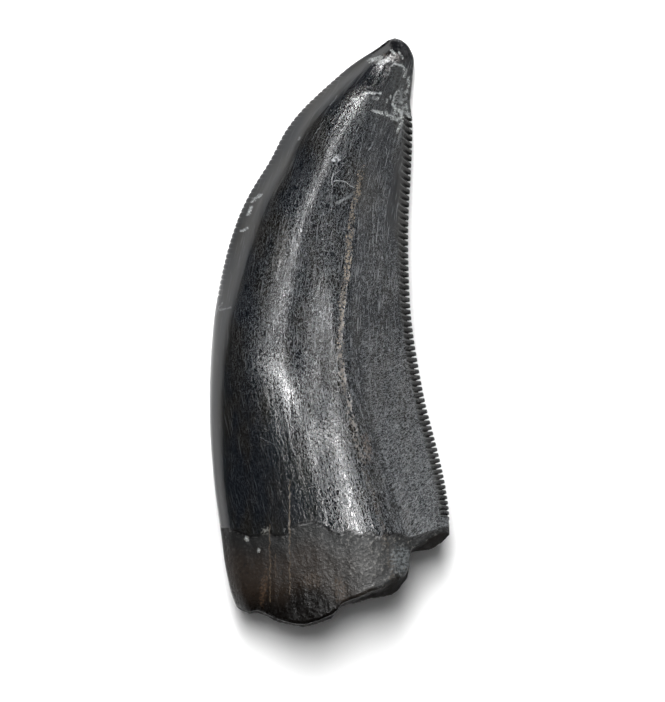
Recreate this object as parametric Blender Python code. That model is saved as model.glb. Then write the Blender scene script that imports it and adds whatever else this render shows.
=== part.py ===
"""Fossil tooth of a large meat-eating dinosaur, lying on the hidden side of its crown.

The tooth is one solid.  +Y runs from the broken root to the tip, +X points to the
hollow, rear edge, and +Z points up from the table.  The origin is on the table, under
the middle of the tooth.  All driving dimensions below are in millimetres.

The skin is a loft: every cross-section lies between a point of the front edge and a
point of the rear edge, and no two sections are alike.  A station runs from 0 at the
broken root to 1 at the tip.  Across a section, a fraction runs from 0 at the front
edge to 1 at the rear edge.
"""

import math

import bmesh
import bpy
import numpy as np

NAME = "daspletosaurus_tooth"
MM = 0.001

# The two edges in plan: station, x, y.
FRONT_EDGE = [
    (0.00, -7.79, -22.83), (0.02, -8.20, -21.70), (0.05, -8.64, -19.67), (0.10, -8.98, -17.17),
    (0.20, -9.63, -12.33), (0.30, -9.96, -7.33), (0.40, -9.88, -2.17), (0.50, -9.40, 2.67),
    (0.60, -8.27, 7.67), (0.70, -6.54, 11.83), (0.75, -5.00, 14.33), (0.80, -3.68, 16.83),
    (0.90, 0.04, 20.83), (0.95, 2.30, 22.67), (0.98, 4.10, 23.83), (0.993, 4.68, 24.26),
    (0.998, 5.02, 24.47), (1.00, 5.46, 24.60),
]
REAR_EDGE = [
    (0.00, 9.96, -16.83), (0.05, 9.93, -14.92), (0.10, 9.65, -12.92), (0.20, 8.92, -9.58),
    (0.30, 8.02, -6.08), (0.40, 7.33, -2.50), (0.50, 6.80, 1.33), (0.60, 6.60, 5.33),
    (0.70, 6.60, 9.42), (0.80, 6.84, 13.92), (0.85, 6.93, 16.35), (0.882, 6.90, 17.95),
    (0.90, 6.76, 18.83), (0.95, 6.92, 21.17), (0.98, 7.01, 23.07), (0.988, 6.84, 23.50),
    (0.993, 6.60, 23.92), (0.997, 6.24, 24.27), (0.999, 5.86, 24.50), (1.00, 5.46, 24.60),
]

# Stations at which the heights of the features are chosen.
STATIONS = (0.00, 0.20, 0.30, 0.40, 0.60, 0.80, 0.90, 0.95, 0.98, 1.00)

# Upper face: each feature's place across the section, then its height, at STATIONS.
UPPER_PLACE = {
    "front facet": (0.015, 0.015, 0.022, 0.030, 0.060, 0.074, 0.090, 0.110, 0.120, 0.120),
    "front flank": (0.040, 0.040, 0.054, 0.068, 0.120, 0.145, 0.185, 0.225, 0.240, 0.240),
    "front slope": (0.110, 0.110, 0.110, 0.110, 0.165, 0.205, 0.260, 0.290, 0.310, 0.310),
    "front shoulder": (0.200, 0.198, 0.184, 0.170, 0.240, 0.300, 0.360, 0.360, 0.370, 0.370),
    "front ridge": (0.386, 0.386, 0.358, 0.330, 0.380, 0.395, 0.460, 0.450, 0.450, 0.450),
    "furrow": (0.480, 0.470, 0.490, 0.512, 0.475, 0.480, 0.530, 0.520, 0.520, 0.520),
    "rear ridge": (0.600, 0.592, 0.595, 0.600, 0.590, 0.570, 0.600, 0.600, 0.600, 0.600),
    "crease": (0.745, 0.670, 0.652, 0.637, 0.668, 0.650, 0.680, 0.690, 0.700, 0.700),
    "flange": (0.870, 0.836, 0.828, 0.820, 0.830, 0.820, 0.840, 0.850, 0.850, 0.850),
}
UPPER_HEIGHT = {
    "front edge": (5.00, 4.80, 4.70, 4.60, 3.60, 2.35, 1.95, 1.75, 1.70, 1.70),
    "front facet": (5.85, 5.60, 5.92, 6.25, 4.60, 3.20, 2.58, 2.20, 2.00, 1.80),
    "front flank": (6.50, 6.30, 6.67, 7.05, 5.60, 4.02, 3.26, 2.72, 2.35, 1.90),
    "front slope": (7.40, 7.15, 7.38, 7.60, 6.15, 4.50, 3.62, 2.93, 2.52, 1.90),
    "front shoulder": (8.20, 7.95, 8.06, 8.18, 6.82, 5.04, 3.94, 3.06, 2.60, 1.90),
    "front ridge": (9.34, 9.00, 8.84, 8.75, 7.34, 5.34, 4.08, 3.14, 2.66, 1.90),
    "furrow": (9.72, 9.30, 9.13, 8.46, 7.09, 5.27, 4.03, 3.12, 2.66, 1.90),
    "rear ridge": (10.12, 9.56, 9.26, 8.65, 6.79, 5.06, 3.92, 3.06, 2.62, 1.90),
    "crease": (9.75, 9.35, 9.10, 8.56, 6.52, 4.75, 3.70, 2.92, 2.52, 1.90),
    "flange": (8.50, 7.85, 7.45, 7.05, 5.45, 3.75, 3.05, 2.52, 2.25, 1.90),
    "rear edge": (7.00, 6.35, 5.95, 5.55, 4.15, 2.85, 2.42, 2.10, 1.90, 1.70),
}

# Lower face, on which the tooth lies.  Heights under zero are cut off by the table.
LOWER_PLACE = {
    "front shoulder": (0.110, 0.110, 0.115, 0.120, 0.160, 0.190, 0.210, 0.230, 0.230, 0.230),
    "belly front": (0.330, 0.330, 0.335, 0.340, 0.350, 0.370, 0.380, 0.390, 0.390, 0.390),
    "belly rear": (0.580, 0.580, 0.585, 0.590, 0.600, 0.600, 0.610, 0.610, 0.610, 0.610),
    "rear slope": (0.810, 0.810, 0.812, 0.815, 0.820, 0.820, 0.830, 0.830, 0.830, 0.830),
}
LOWER_HEIGHT = {
    "front shoulder": (1.35, 1.20, 1.27, 1.35, 1.75, 1.70, 1.50, 1.35, 1.30, 1.50),
    "belly front": (-0.10, -0.22, -0.17, -0.12, 0.75, 1.00, 0.98, 0.92, 1.00, 1.50),
    "belly rear": (0.00, -0.18, -0.12, -0.05, 0.80, 1.05, 1.00, 0.95, 1.02, 1.50),
    "rear slope": (2.55, 2.35, 2.23, 2.10, 1.95, 1.75, 1.45, 1.25, 1.22, 1.50),
}

# How round each edge is: the rise of the face beside it, in mm for each radian of the
# half turn that spreads the columns over the section.  Zero gives a keen edge.
FRONT_ROUNDNESS = (6.0, 6.0, 5.9, 5.6, 1.2, 0.4, 0.3, 0.4, 0.6, 0.6)
REAR_ROUNDNESS = (0.4, 0.3, 0.25, 0.2, 0.2, 0.2, 0.2, 0.3, 0.5, 0.6)

# The broken end of the root in plan: fraction, x, y.  The notch near 0.82 is where the
# root has broken away under the rear flange.
ROOT_REACH = 0.22
ROOT_OUTLINE = [
    (0.00, -7.79, -22.83), (0.035, -7.10, -23.18), (0.064, -6.62, -23.38),
    (0.10, -6.04, -23.28), (0.14, -5.27, -23.58), (0.18, -4.58, -23.92),
    (0.22, -3.88, -24.18), (0.27, -3.00, -24.40), (0.32, -2.10, -24.46),
    (0.375, -1.12, -24.20), (0.42, -0.45, -23.92), (0.455, 0.20, -23.58),
    (0.48, 0.66, -23.22), (0.50, 0.95, -22.80), (0.53, 1.60, -22.56),
    (0.57, 2.33, -22.36), (0.63, 3.44, -22.02), (0.685, 4.40, -21.90),
    (0.725, 5.10, -21.72), (0.762, 5.80, -21.30), (0.79, 6.34, -20.60),
    (0.805, 6.56, -19.85), (0.82, 6.65, -18.95), (0.832, 6.72, -18.32),
    (0.85, 7.10, -18.18), (0.88, 7.85, -18.10), (0.92, 8.56, -17.92),
    (0.955, 9.22, -17.58), (0.98, 9.70, -17.18), (1.00, 9.96, -16.83),
]
# How far the upper and lower rims of the break stand back from that outline.
UPPER_SETBACK = [
    (0.00, 0.00), (0.08, 0.20), (0.30, 0.30), (0.46, 0.25), (0.50, 0.30), (0.60, 0.55),
    (0.685, 0.80), (0.725, 1.10), (0.75, 1.30), (0.79, 0.80), (0.83, 0.25), (0.86, 0.50),
    (0.90, 1.00), (0.95, 1.10), (0.98, 0.60), (1.00, 0.00),
]
LOWER_SETBACK = [(0.00, 0.00), (0.15, 0.80), (0.50, 1.30), (0.85, 0.70), (1.00, 0.00)]
PULP_DEPTH = 1.6
PULP_CENTRE = 0.42
PULP_HALF_WIDTH = 0.24
# The hollow starts at this share of the way from the upper rim to the lower one.
PULP_ROOF = 0.22
# How steeply the break swells from its two rims to the outline.
BREAK_SWELL = 2.6
BREAK_ROWS = 6
BREAK_ROUGHNESS = 0.20
# Two sets of shallow ribs make the break uneven: turns across it, then down it.
BREAK_RIBS = ((37.0, 9.0), (61.0, -13.0))

# Toothed cutting edges: first and last station, count, pitch near the root and near
# the tip, depth of the slits at the edge and in the faces beside it.
REAR_TEETH = {"first": 0.030, "last": 0.885, "count": 68, "root": 0.84, "tip": 1.10,
              "depth": 0.20, "face": 0.10}
FRONT_TEETH = {"first": 0.500, "last": 0.925, "count": 48, "root": 0.95, "tip": 1.05,
               "depth": 0.13, "face": 0.07}
SLIT_SHARE = 0.26
EDGE_COLUMNS = (0.0, 0.36, 0.80)
BODY_MARGIN = 1.25
NARROW_SECTION = 5.0

BODY_ROWS = 52
BODY_COLUMNS = 23
# Share of the columns' spacing that follows a half turn, closer at the edges.
TURN_SHARE = 0.6
# The last even row, and two more that round the tip.
LAST_STATION = 0.988
TIP_STATIONS = (0.978, 0.996)
# The plain rows of an edge keep this share of a row clear of its little teeth.
ROW_CLEARANCE = 0.4
LENGTH_SAMPLES = 400

ENAMEL_COLOUR = (0.030, 0.032, 0.036, 1.0)
ENAMEL_ROUGHNESS = 0.42


class Curve:
    """Smooth curve through chosen points, each a place and its values."""

    def __init__(self, points):
        self.places = np.array([point[0] for point in points], float)
        self.values = np.array([point[1:] for point in points], float)
        steps = np.diff(self.places)[:, None]
        rises = np.diff(self.values, axis=0) / steps
        self.slopes = np.empty_like(self.values)
        self.slopes[0] = rises[0]
        self.slopes[-1] = rises[-1]
        before, after = steps[:-1], steps[1:]
        self.slopes[1:-1] = (rises[:-1] * after + rises[1:] * before) / (before + after)

    def at(self, place):
        """Return the values at a place, held at the two end points beyond them."""
        place = min(max(place, self.places[0]), self.places[-1])
        k = int(np.searchsorted(self.places, place, side="right")) - 1
        k = min(max(k, 0), len(self.places) - 2)
        step = self.places[k + 1] - self.places[k]
        s = (place - self.places[k]) / step
        return (
            self.values[k] * (1 + 2 * s) * (1 - s) ** 2
            + self.slopes[k] * step * s * (1 - s) ** 2
            + self.values[k + 1] * s * s * (3 - 2 * s)
            + self.slopes[k + 1] * step * s * s * (s - 1)
        )


def station_curve(values):
    """Return the curve of one feature whose values are given at STATIONS."""
    return Curve(list(zip(STATIONS, values)))


def straight(points, place):
    """Return each value of a table at a place, on straight lines between its points."""
    places = [point[0] for point in points]
    columns = zip(*[point[1:] for point in points])
    return [float(np.interp(place, places, column)) for column in columns]


FRONT = Curve(FRONT_EDGE)
REAR = Curve(REAR_EDGE)
ROOT = Curve(ROOT_OUTLINE)
FEATURE_PLACES = {
    True: [station_curve(row) for row in UPPER_PLACE.values()],
    False: [station_curve(row) for row in LOWER_PLACE.values()],
}
FEATURE_HEIGHTS = {
    True: [station_curve(row) for row in list(UPPER_HEIGHT.values())[1:-1]],
    False: [station_curve(row) for row in LOWER_HEIGHT.values()],
}
EDGE_HEIGHTS = [station_curve(UPPER_HEIGHT[name]) for name in ("front edge", "rear edge")]
EDGE_ROUNDNESS = [station_curve(row) for row in (FRONT_ROUNDNESS, REAR_ROUNDNESS)]
SECTIONS = {}


def section_curve(station, upper):
    """Return the heights of one face over a half turn that goes from edge to edge."""
    key = (round(station, 9), upper)
    if key not in SECTIONS:
        front, rear = (float(curve.at(station)[0]) for curve in EDGE_HEIGHTS)
        points = [(0.0, front)]
        for place, height in zip(FEATURE_PLACES[upper], FEATURE_HEIGHTS[upper]):
            turn = math.acos(1 - 2 * float(place.at(station)[0]))
            points.append((turn, float(height.at(station)[0])))
        points.append((math.pi, rear))
        curve = Curve(points)
        rise = 1 if upper else -1
        curve.slopes[0] = rise * EDGE_ROUNDNESS[0].at(station)
        curve.slopes[-1] = -rise * EDGE_ROUNDNESS[1].at(station)
        SECTIONS[key] = curve
    return SECTIONS[key]


def height_at(station, fraction, upper):
    """Return the height of one face, flat where it rests on the table."""
    turn = math.acos(1 - 2 * min(max(fraction, 0.0), 1.0))
    return max(float(section_curve(station, upper).at(turn)[0]), 0.0)


def width_at(station):
    """Return the length of the section's line from edge to edge."""
    return float(np.linalg.norm(REAR.at(station) - FRONT.at(station)))


def plan_at(station, fraction, setback):
    """Return the place in plan, drawn out near the root to meet the broken end."""
    front, rear = FRONT.at(station), REAR.at(station)
    place = front + (rear - front) * fraction
    reach = max(0.0, 1 - station / ROOT_REACH) ** 2
    if reach > 0:
        base = FRONT.at(0) + (REAR.at(0) - FRONT.at(0)) * fraction
        end = ROOT.at(fraction)
        end[1] += straight(setback, fraction)[0]
        place = place + (end - base) * reach
    return place


def skin_point(station, fraction, upper):
    """Return a point of the upper or lower face, in millimetres."""
    setback = UPPER_SETBACK if upper else LOWER_SETBACK
    x, y = plan_at(station, fraction, setback)
    return np.array([x, y, height_at(station, fraction, upper)])


def margin_scale(station):
    """Return how much the columns beside an edge draw together on a narrow section."""
    return min(1.0, width_at(station) / NARROW_SECTION)


def slit_rows(edge, teeth):
    """Return station and slit share for the rows of one toothed edge.

    Each little tooth has three rows: the bottom of the slit before it and the two ends
    of its crest.
    """
    stations = np.linspace(teeth["first"], teeth["last"], LENGTH_SAMPLES)
    line = np.array([edge.at(station) for station in stations])
    lengths = np.concatenate(([0.0], np.cumsum(np.linalg.norm(np.diff(line, axis=0), axis=1))))
    pitches = np.linspace(teeth["root"], teeth["tip"], teeth["count"])
    starts = np.concatenate(([0.0], np.cumsum(pitches))) / pitches.sum() * lengths[-1]
    rows = []
    for start, end in zip(starts[:-1], starts[1:]):
        for share, slit in ((0.0, 1.0), (SLIT_SHARE, 0.0), (1 - SLIT_SHARE, 0.0)):
            place = start + (end - start) * share
            rows.append((float(np.interp(place, lengths, stations)), slit))
    rows.append((float(stations[-1]), 1.0))
    return rows


def edge_rows(edge, teeth, body_stations):
    """Return all rows of one edge: fine ones along its teeth, plain ones elsewhere."""
    fine = slit_rows(edge, teeth)
    gap = ROW_CLEARANCE * (body_stations[2] - body_stations[1])
    before = [(s, 0.0) for s in body_stations if s < teeth["first"] - gap]
    after = [(s, 0.0) for s in body_stations if s > teeth["last"] + gap]
    return before + fine + after


class Mesh:
    """Points and faces of the solid while it is put together."""

    def __init__(self):
        self.points = []
        self.faces = []

    def add(self, point):
        """Add a point and return its number."""
        self.points.append(point)
        return len(self.points) - 1

    def face(self, corners, flip):
        """Add a face unless two of its corners are one point."""
        if len(set(corners)) == len(corners):
            self.faces.append(tuple(reversed(corners)) if flip else tuple(corners))

    def strip(self, left, right, flip):
        """Join two columns that have the same rows."""
        for a, b, c, d in zip(left, right, right[1:], left[1:]):
            self.face((a, b, c), flip)
            self.face((a, c, d), flip)

    def seam(self, left, left_stations, right, right_stations, flip):
        """Join two columns whose rows differ, always by the shorter next step."""
        i, j = 0, 0
        while i < len(left) - 1 or j < len(right) - 1:
            left_next = left_stations[i + 1] if i < len(left) - 1 else math.inf
            right_next = right_stations[j + 1] if j < len(right) - 1 else math.inf
            if left_next <= right_next:
                self.face((left[i], right[j], left[i + 1]), flip)
                i += 1
            else:
                self.face((left[i], right[j], right[j + 1]), flip)
                j += 1


def edge_point(station, slit, distance, at_front, upper, teeth):
    """Return a point of the strip beside an edge, pulled in where a slit is cut."""
    width = width_at(station)
    inward = distance * margin_scale(station)
    if distance == 0.0:
        inward += slit * teeth["depth"]
    fraction = inward / width if at_front else 1 - inward / width
    point = skin_point(station, fraction, upper)
    if distance == 0.0:
        edge_place = 0.0 if at_front else 1.0
        rim = height_at(station, edge_place, True)
        point[2] = rim
        if station == 0.0:
            point[:2] = plan_at(0.0, edge_place, UPPER_SETBACK)
    elif distance < EDGE_COLUMNS[-1]:
        point[2] += slit * teeth["face"] * (-1 if upper else 1)
    return point


def add_edge(mesh, rows, at_front, teeth):
    """Add one toothed edge and return its columns for the upper and lower face."""
    shared = [mesh.add(edge_point(s, slit, 0.0, at_front, True, teeth)) for s, slit in rows]
    columns = {}
    for upper in (True, False):
        columns[upper] = [shared]
        for distance in EDGE_COLUMNS[1:]:
            columns[upper].append([
                mesh.add(edge_point(s, slit, distance, at_front, upper, teeth))
                for s, slit in rows
            ])
        for left, right in zip(columns[upper], columns[upper][1:]):
            mesh.strip(left, right, flip=(upper != at_front))
    return columns


def body_fraction(station, k):
    """Return the place of one of the broad part's columns across a section."""
    even = k / (BODY_COLUMNS - 1)
    spread = TURN_SHARE * (0.5 - 0.5 * math.cos(math.pi * even)) + (1 - TURN_SHARE) * even
    margin = BODY_MARGIN * margin_scale(station) / width_at(station)
    return margin + (1 - 2 * margin) * spread


def add_body(mesh, stations, upper):
    """Add the broad part of one face and return its columns."""
    columns = []
    for k in range(BODY_COLUMNS):
        columns.append([
            mesh.add(skin_point(station, body_fraction(station, k), upper))
            for station in stations
        ])
    for left, right in zip(columns, columns[1:]):
        mesh.strip(left, right, flip=not upper)
    return columns


def break_point(top, bottom, share, across):
    """Return a point of the rough broken end between its upper and lower rims."""
    point = top + (bottom - top) * share
    outline = ROOT.at(across)[1]
    depth = math.sin(math.pi * share)
    middle = math.exp(-((across - PULP_CENTRE) / PULP_HALF_WIDTH) ** 2)
    opening = min(1.0, 2 * max(0.0, share - PULP_ROOF))
    ribs = sum(math.sin(turns * across + slant * share) for turns, slant in BREAK_RIBS)
    point[1] += (outline - point[1]) * min(1.0, BREAK_SWELL * depth)
    point[1] += PULP_DEPTH * middle * depth ** 2 * opening
    point[1] += 0.5 * BREAK_ROUGHNESS * (ribs + 1) * depth
    return point


def add_break(mesh, upper_rim, lower_rim, fractions):
    """Close the broken end with rows between the two rims."""
    rows = [upper_rim]
    for r in range(1, BREAK_ROWS):
        row = [upper_rim[0]]
        for top, bottom, across in zip(upper_rim[1:-1], lower_rim[1:-1], fractions[1:-1]):
            ends = mesh.points[top], mesh.points[bottom]
            row.append(mesh.add(break_point(*ends, r / BREAK_ROWS, across)))
        row.append(upper_rim[-1])
        rows.append(row)
    rows.append(lower_rim)
    for high, low in zip(rows, rows[1:]):
        for a, b, c, d in zip(high, high[1:], low[1:], low):
            mesh.face((a, c, b), flip=False)
            mesh.face((a, d, c), flip=False)


def break_fractions():
    """Return the places of the rims' points across the broken end."""
    width = width_at(0.0)
    front = [distance / width for distance in EDGE_COLUMNS]
    body = [body_fraction(0.0, k) for k in range(BODY_COLUMNS)]
    return front + body + [1 - fraction for fraction in reversed(front)]


def build_tooth():
    """Return the mesh data of the whole tooth, in metres."""
    mesh = Mesh()
    even = [float(station) for station in np.linspace(0.0, LAST_STATION, BODY_ROWS)]
    stations = sorted(even + list(TIP_STATIONS))
    front_rows = edge_rows(FRONT, FRONT_TEETH, stations)
    rear_rows = edge_rows(REAR, REAR_TEETH, stations)
    front_stations = [station for station, _ in front_rows]
    rear_stations = [station for station, _ in rear_rows]
    front = add_edge(mesh, front_rows, True, FRONT_TEETH)
    rear = add_edge(mesh, rear_rows, False, REAR_TEETH)
    x, y = FRONT.at(1.0)
    tip = mesh.add(np.array([x, y, height_at(1.0, 0.5, True)]))
    rims = {}
    for upper in (True, False):
        body = add_body(mesh, stations, upper)
        mesh.seam(front[upper][-1], front_stations, body[0], stations, flip=not upper)
        mesh.seam(body[-1], stations, rear[upper][-1], rear_stations, flip=not upper)
        columns = front[upper] + body + rear[upper][::-1]
        rims[upper] = [column[0] for column in columns]
        for left, right in zip(columns, columns[1:]):
            mesh.face((left[-1], right[-1], tip), flip=not upper)
    add_break(mesh, rims[True], rims[False], break_fractions())
    return mesh


def enamel_material():
    """Dark, nearly black fossil enamel with a soft shine."""
    material = bpy.data.materials.new("fossil_enamel")
    material.use_nodes = True
    shader = material.node_tree.nodes["Principled BSDF"]
    shader.inputs["Base Color"].default_value = ENAMEL_COLOUR
    shader.inputs["Roughness"].default_value = ENAMEL_ROUGHNESS
    material.diffuse_color = ENAMEL_COLOUR
    return material


def main():
    """Build the tooth as one named object."""
    for item in list(bpy.data.objects):
        bpy.data.objects.remove(item, do_unlink=True)
    collection = bpy.data.collections.new(NAME)
    bpy.context.scene.collection.children.link(collection)
    loft = build_tooth()
    data = bpy.data.meshes.new("tooth")
    data.from_pydata([tuple(p * MM) for p in loft.points], [], loft.faces)
    shape = bmesh.new()
    shape.from_mesh(data)
    bmesh.ops.recalc_face_normals(shape, faces=shape.faces)
    shape.to_mesh(data)
    shape.free()
    data.materials.append(enamel_material())
    data.shade_smooth()
    tooth = bpy.data.objects.new("tooth", data)
    collection.objects.link(tooth)


main()
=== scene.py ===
"""Looks of a fossil predator tooth, lying on a pale table in soft studio light.

The crown and its stub of broken root are one mesh, a loft that follows the solid model.
Geometry Nodes cut the saw teeth of both edges, raise the fine relief of the enamel and
strew the mineral grains that cling to the crown.  Every size below is in millimetres
unless its description says otherwise, and the table is at height zero.
"""

import logging
import math
from dataclasses import dataclass, field
from enum import Enum
from typing import Sequence

import bpy
import numpy as np
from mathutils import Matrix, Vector


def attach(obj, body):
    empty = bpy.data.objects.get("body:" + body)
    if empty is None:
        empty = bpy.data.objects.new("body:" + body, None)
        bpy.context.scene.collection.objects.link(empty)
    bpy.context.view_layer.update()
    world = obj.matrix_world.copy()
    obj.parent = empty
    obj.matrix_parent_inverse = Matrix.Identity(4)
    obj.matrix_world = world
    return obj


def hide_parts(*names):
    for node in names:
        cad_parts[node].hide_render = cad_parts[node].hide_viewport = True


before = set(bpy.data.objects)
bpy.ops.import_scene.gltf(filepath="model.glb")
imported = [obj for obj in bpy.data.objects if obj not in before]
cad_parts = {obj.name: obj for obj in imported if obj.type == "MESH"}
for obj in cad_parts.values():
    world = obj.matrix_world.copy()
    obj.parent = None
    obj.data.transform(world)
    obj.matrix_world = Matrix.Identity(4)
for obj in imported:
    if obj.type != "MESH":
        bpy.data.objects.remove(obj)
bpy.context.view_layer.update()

LOG = logging.getLogger("tooth")
MM = 0.001
BODY = "root"
NODE = "tooth"

# The saw tree cuts the slits and the finish darkens them, so both use these values.
SLANT_SPAN = (0.3, 0.8)
SAW_SEED = 5.0
SAW_LAYER = 0.5
SAW_NOISE_SCALE = 0.83

LUMP_ROUGHNESS = 0.8
LUMP_MOTTLE_SCALE = 3.2

Colour = tuple[float, float, float]
Place = tuple[float, float, float]
Value = object
Socket = bpy.types.NodeSocket
Tree = bpy.types.NodeTree


class Face(Enum):
    """The two faces of the tooth as it lies."""

    UPPER = 1
    LOWER = 0


class SmoothLine:
    """A smooth curve through chosen points, each a place and its values."""

    def __init__(self, points: Sequence[Sequence[float]]) -> None:
        """Work out the slopes at the points.

        Args:
            points: Rows of a place, in rising order, and the values there.
        """
        table = np.array(points, float)
        self.places = table[:, 0]
        self.values = table[:, 1:]
        steps = np.diff(self.places)[:, None]
        rises = np.diff(self.values, axis=0) / steps
        before, after = steps[:-1], steps[1:]
        inner = (rises[:-1] * after + rises[1:] * before) / (before + after)
        self.slopes = np.vstack([rises[:1], inner, rises[-1:]])

    def at(self, places: np.ndarray | float) -> np.ndarray:
        """Return a row of values for each place, held at the two ends.

        Args:
            places: One place or an array of them.

        Returns:
            An array with one row for each place.
        """
        x = np.clip(np.atleast_1d(np.asarray(places, float)), self.places[0], self.places[-1])
        k = np.clip(np.searchsorted(self.places, x, side="right") - 1, 0, len(self.places) - 2)
        step = (self.places[k + 1] - self.places[k])[:, None]
        s = (x - self.places[k])[:, None] / step
        return (
            self.values[k] * (1 + 2 * s) * (1 - s) ** 2
            + self.slopes[k] * step * s * (1 - s) ** 2
            + self.values[k + 1] * s * s * (3 - 2 * s)
            + self.slopes[k + 1] * step * s * s * (s - 1)
        )


def straight(points: Sequence[Sequence[float]], places: np.ndarray) -> np.ndarray:
    """Return the values of a table on straight lines between its points.

    Args:
        points: Rows of a place, in rising order, and the values there.
        places: The places to read.

    Returns:
        An array with one row for each place.
    """
    table = np.array(points, float)
    columns = [np.interp(places, table[:, 0], column) for column in table[:, 1:].T]
    return np.stack(columns, axis=-1)


def ease(low: float, high: float, values: np.ndarray) -> np.ndarray:
    """Return a soft step from 0 at low to 1 at high.

    Args:
        low: Where the step starts.
        high: Where the step ends.
        values: The values to step.

    Returns:
        The stepped values.
    """
    s = np.clip((values - low) / (high - low), 0.0, 1.0)
    return s * s * (3 - 2 * s)


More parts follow.
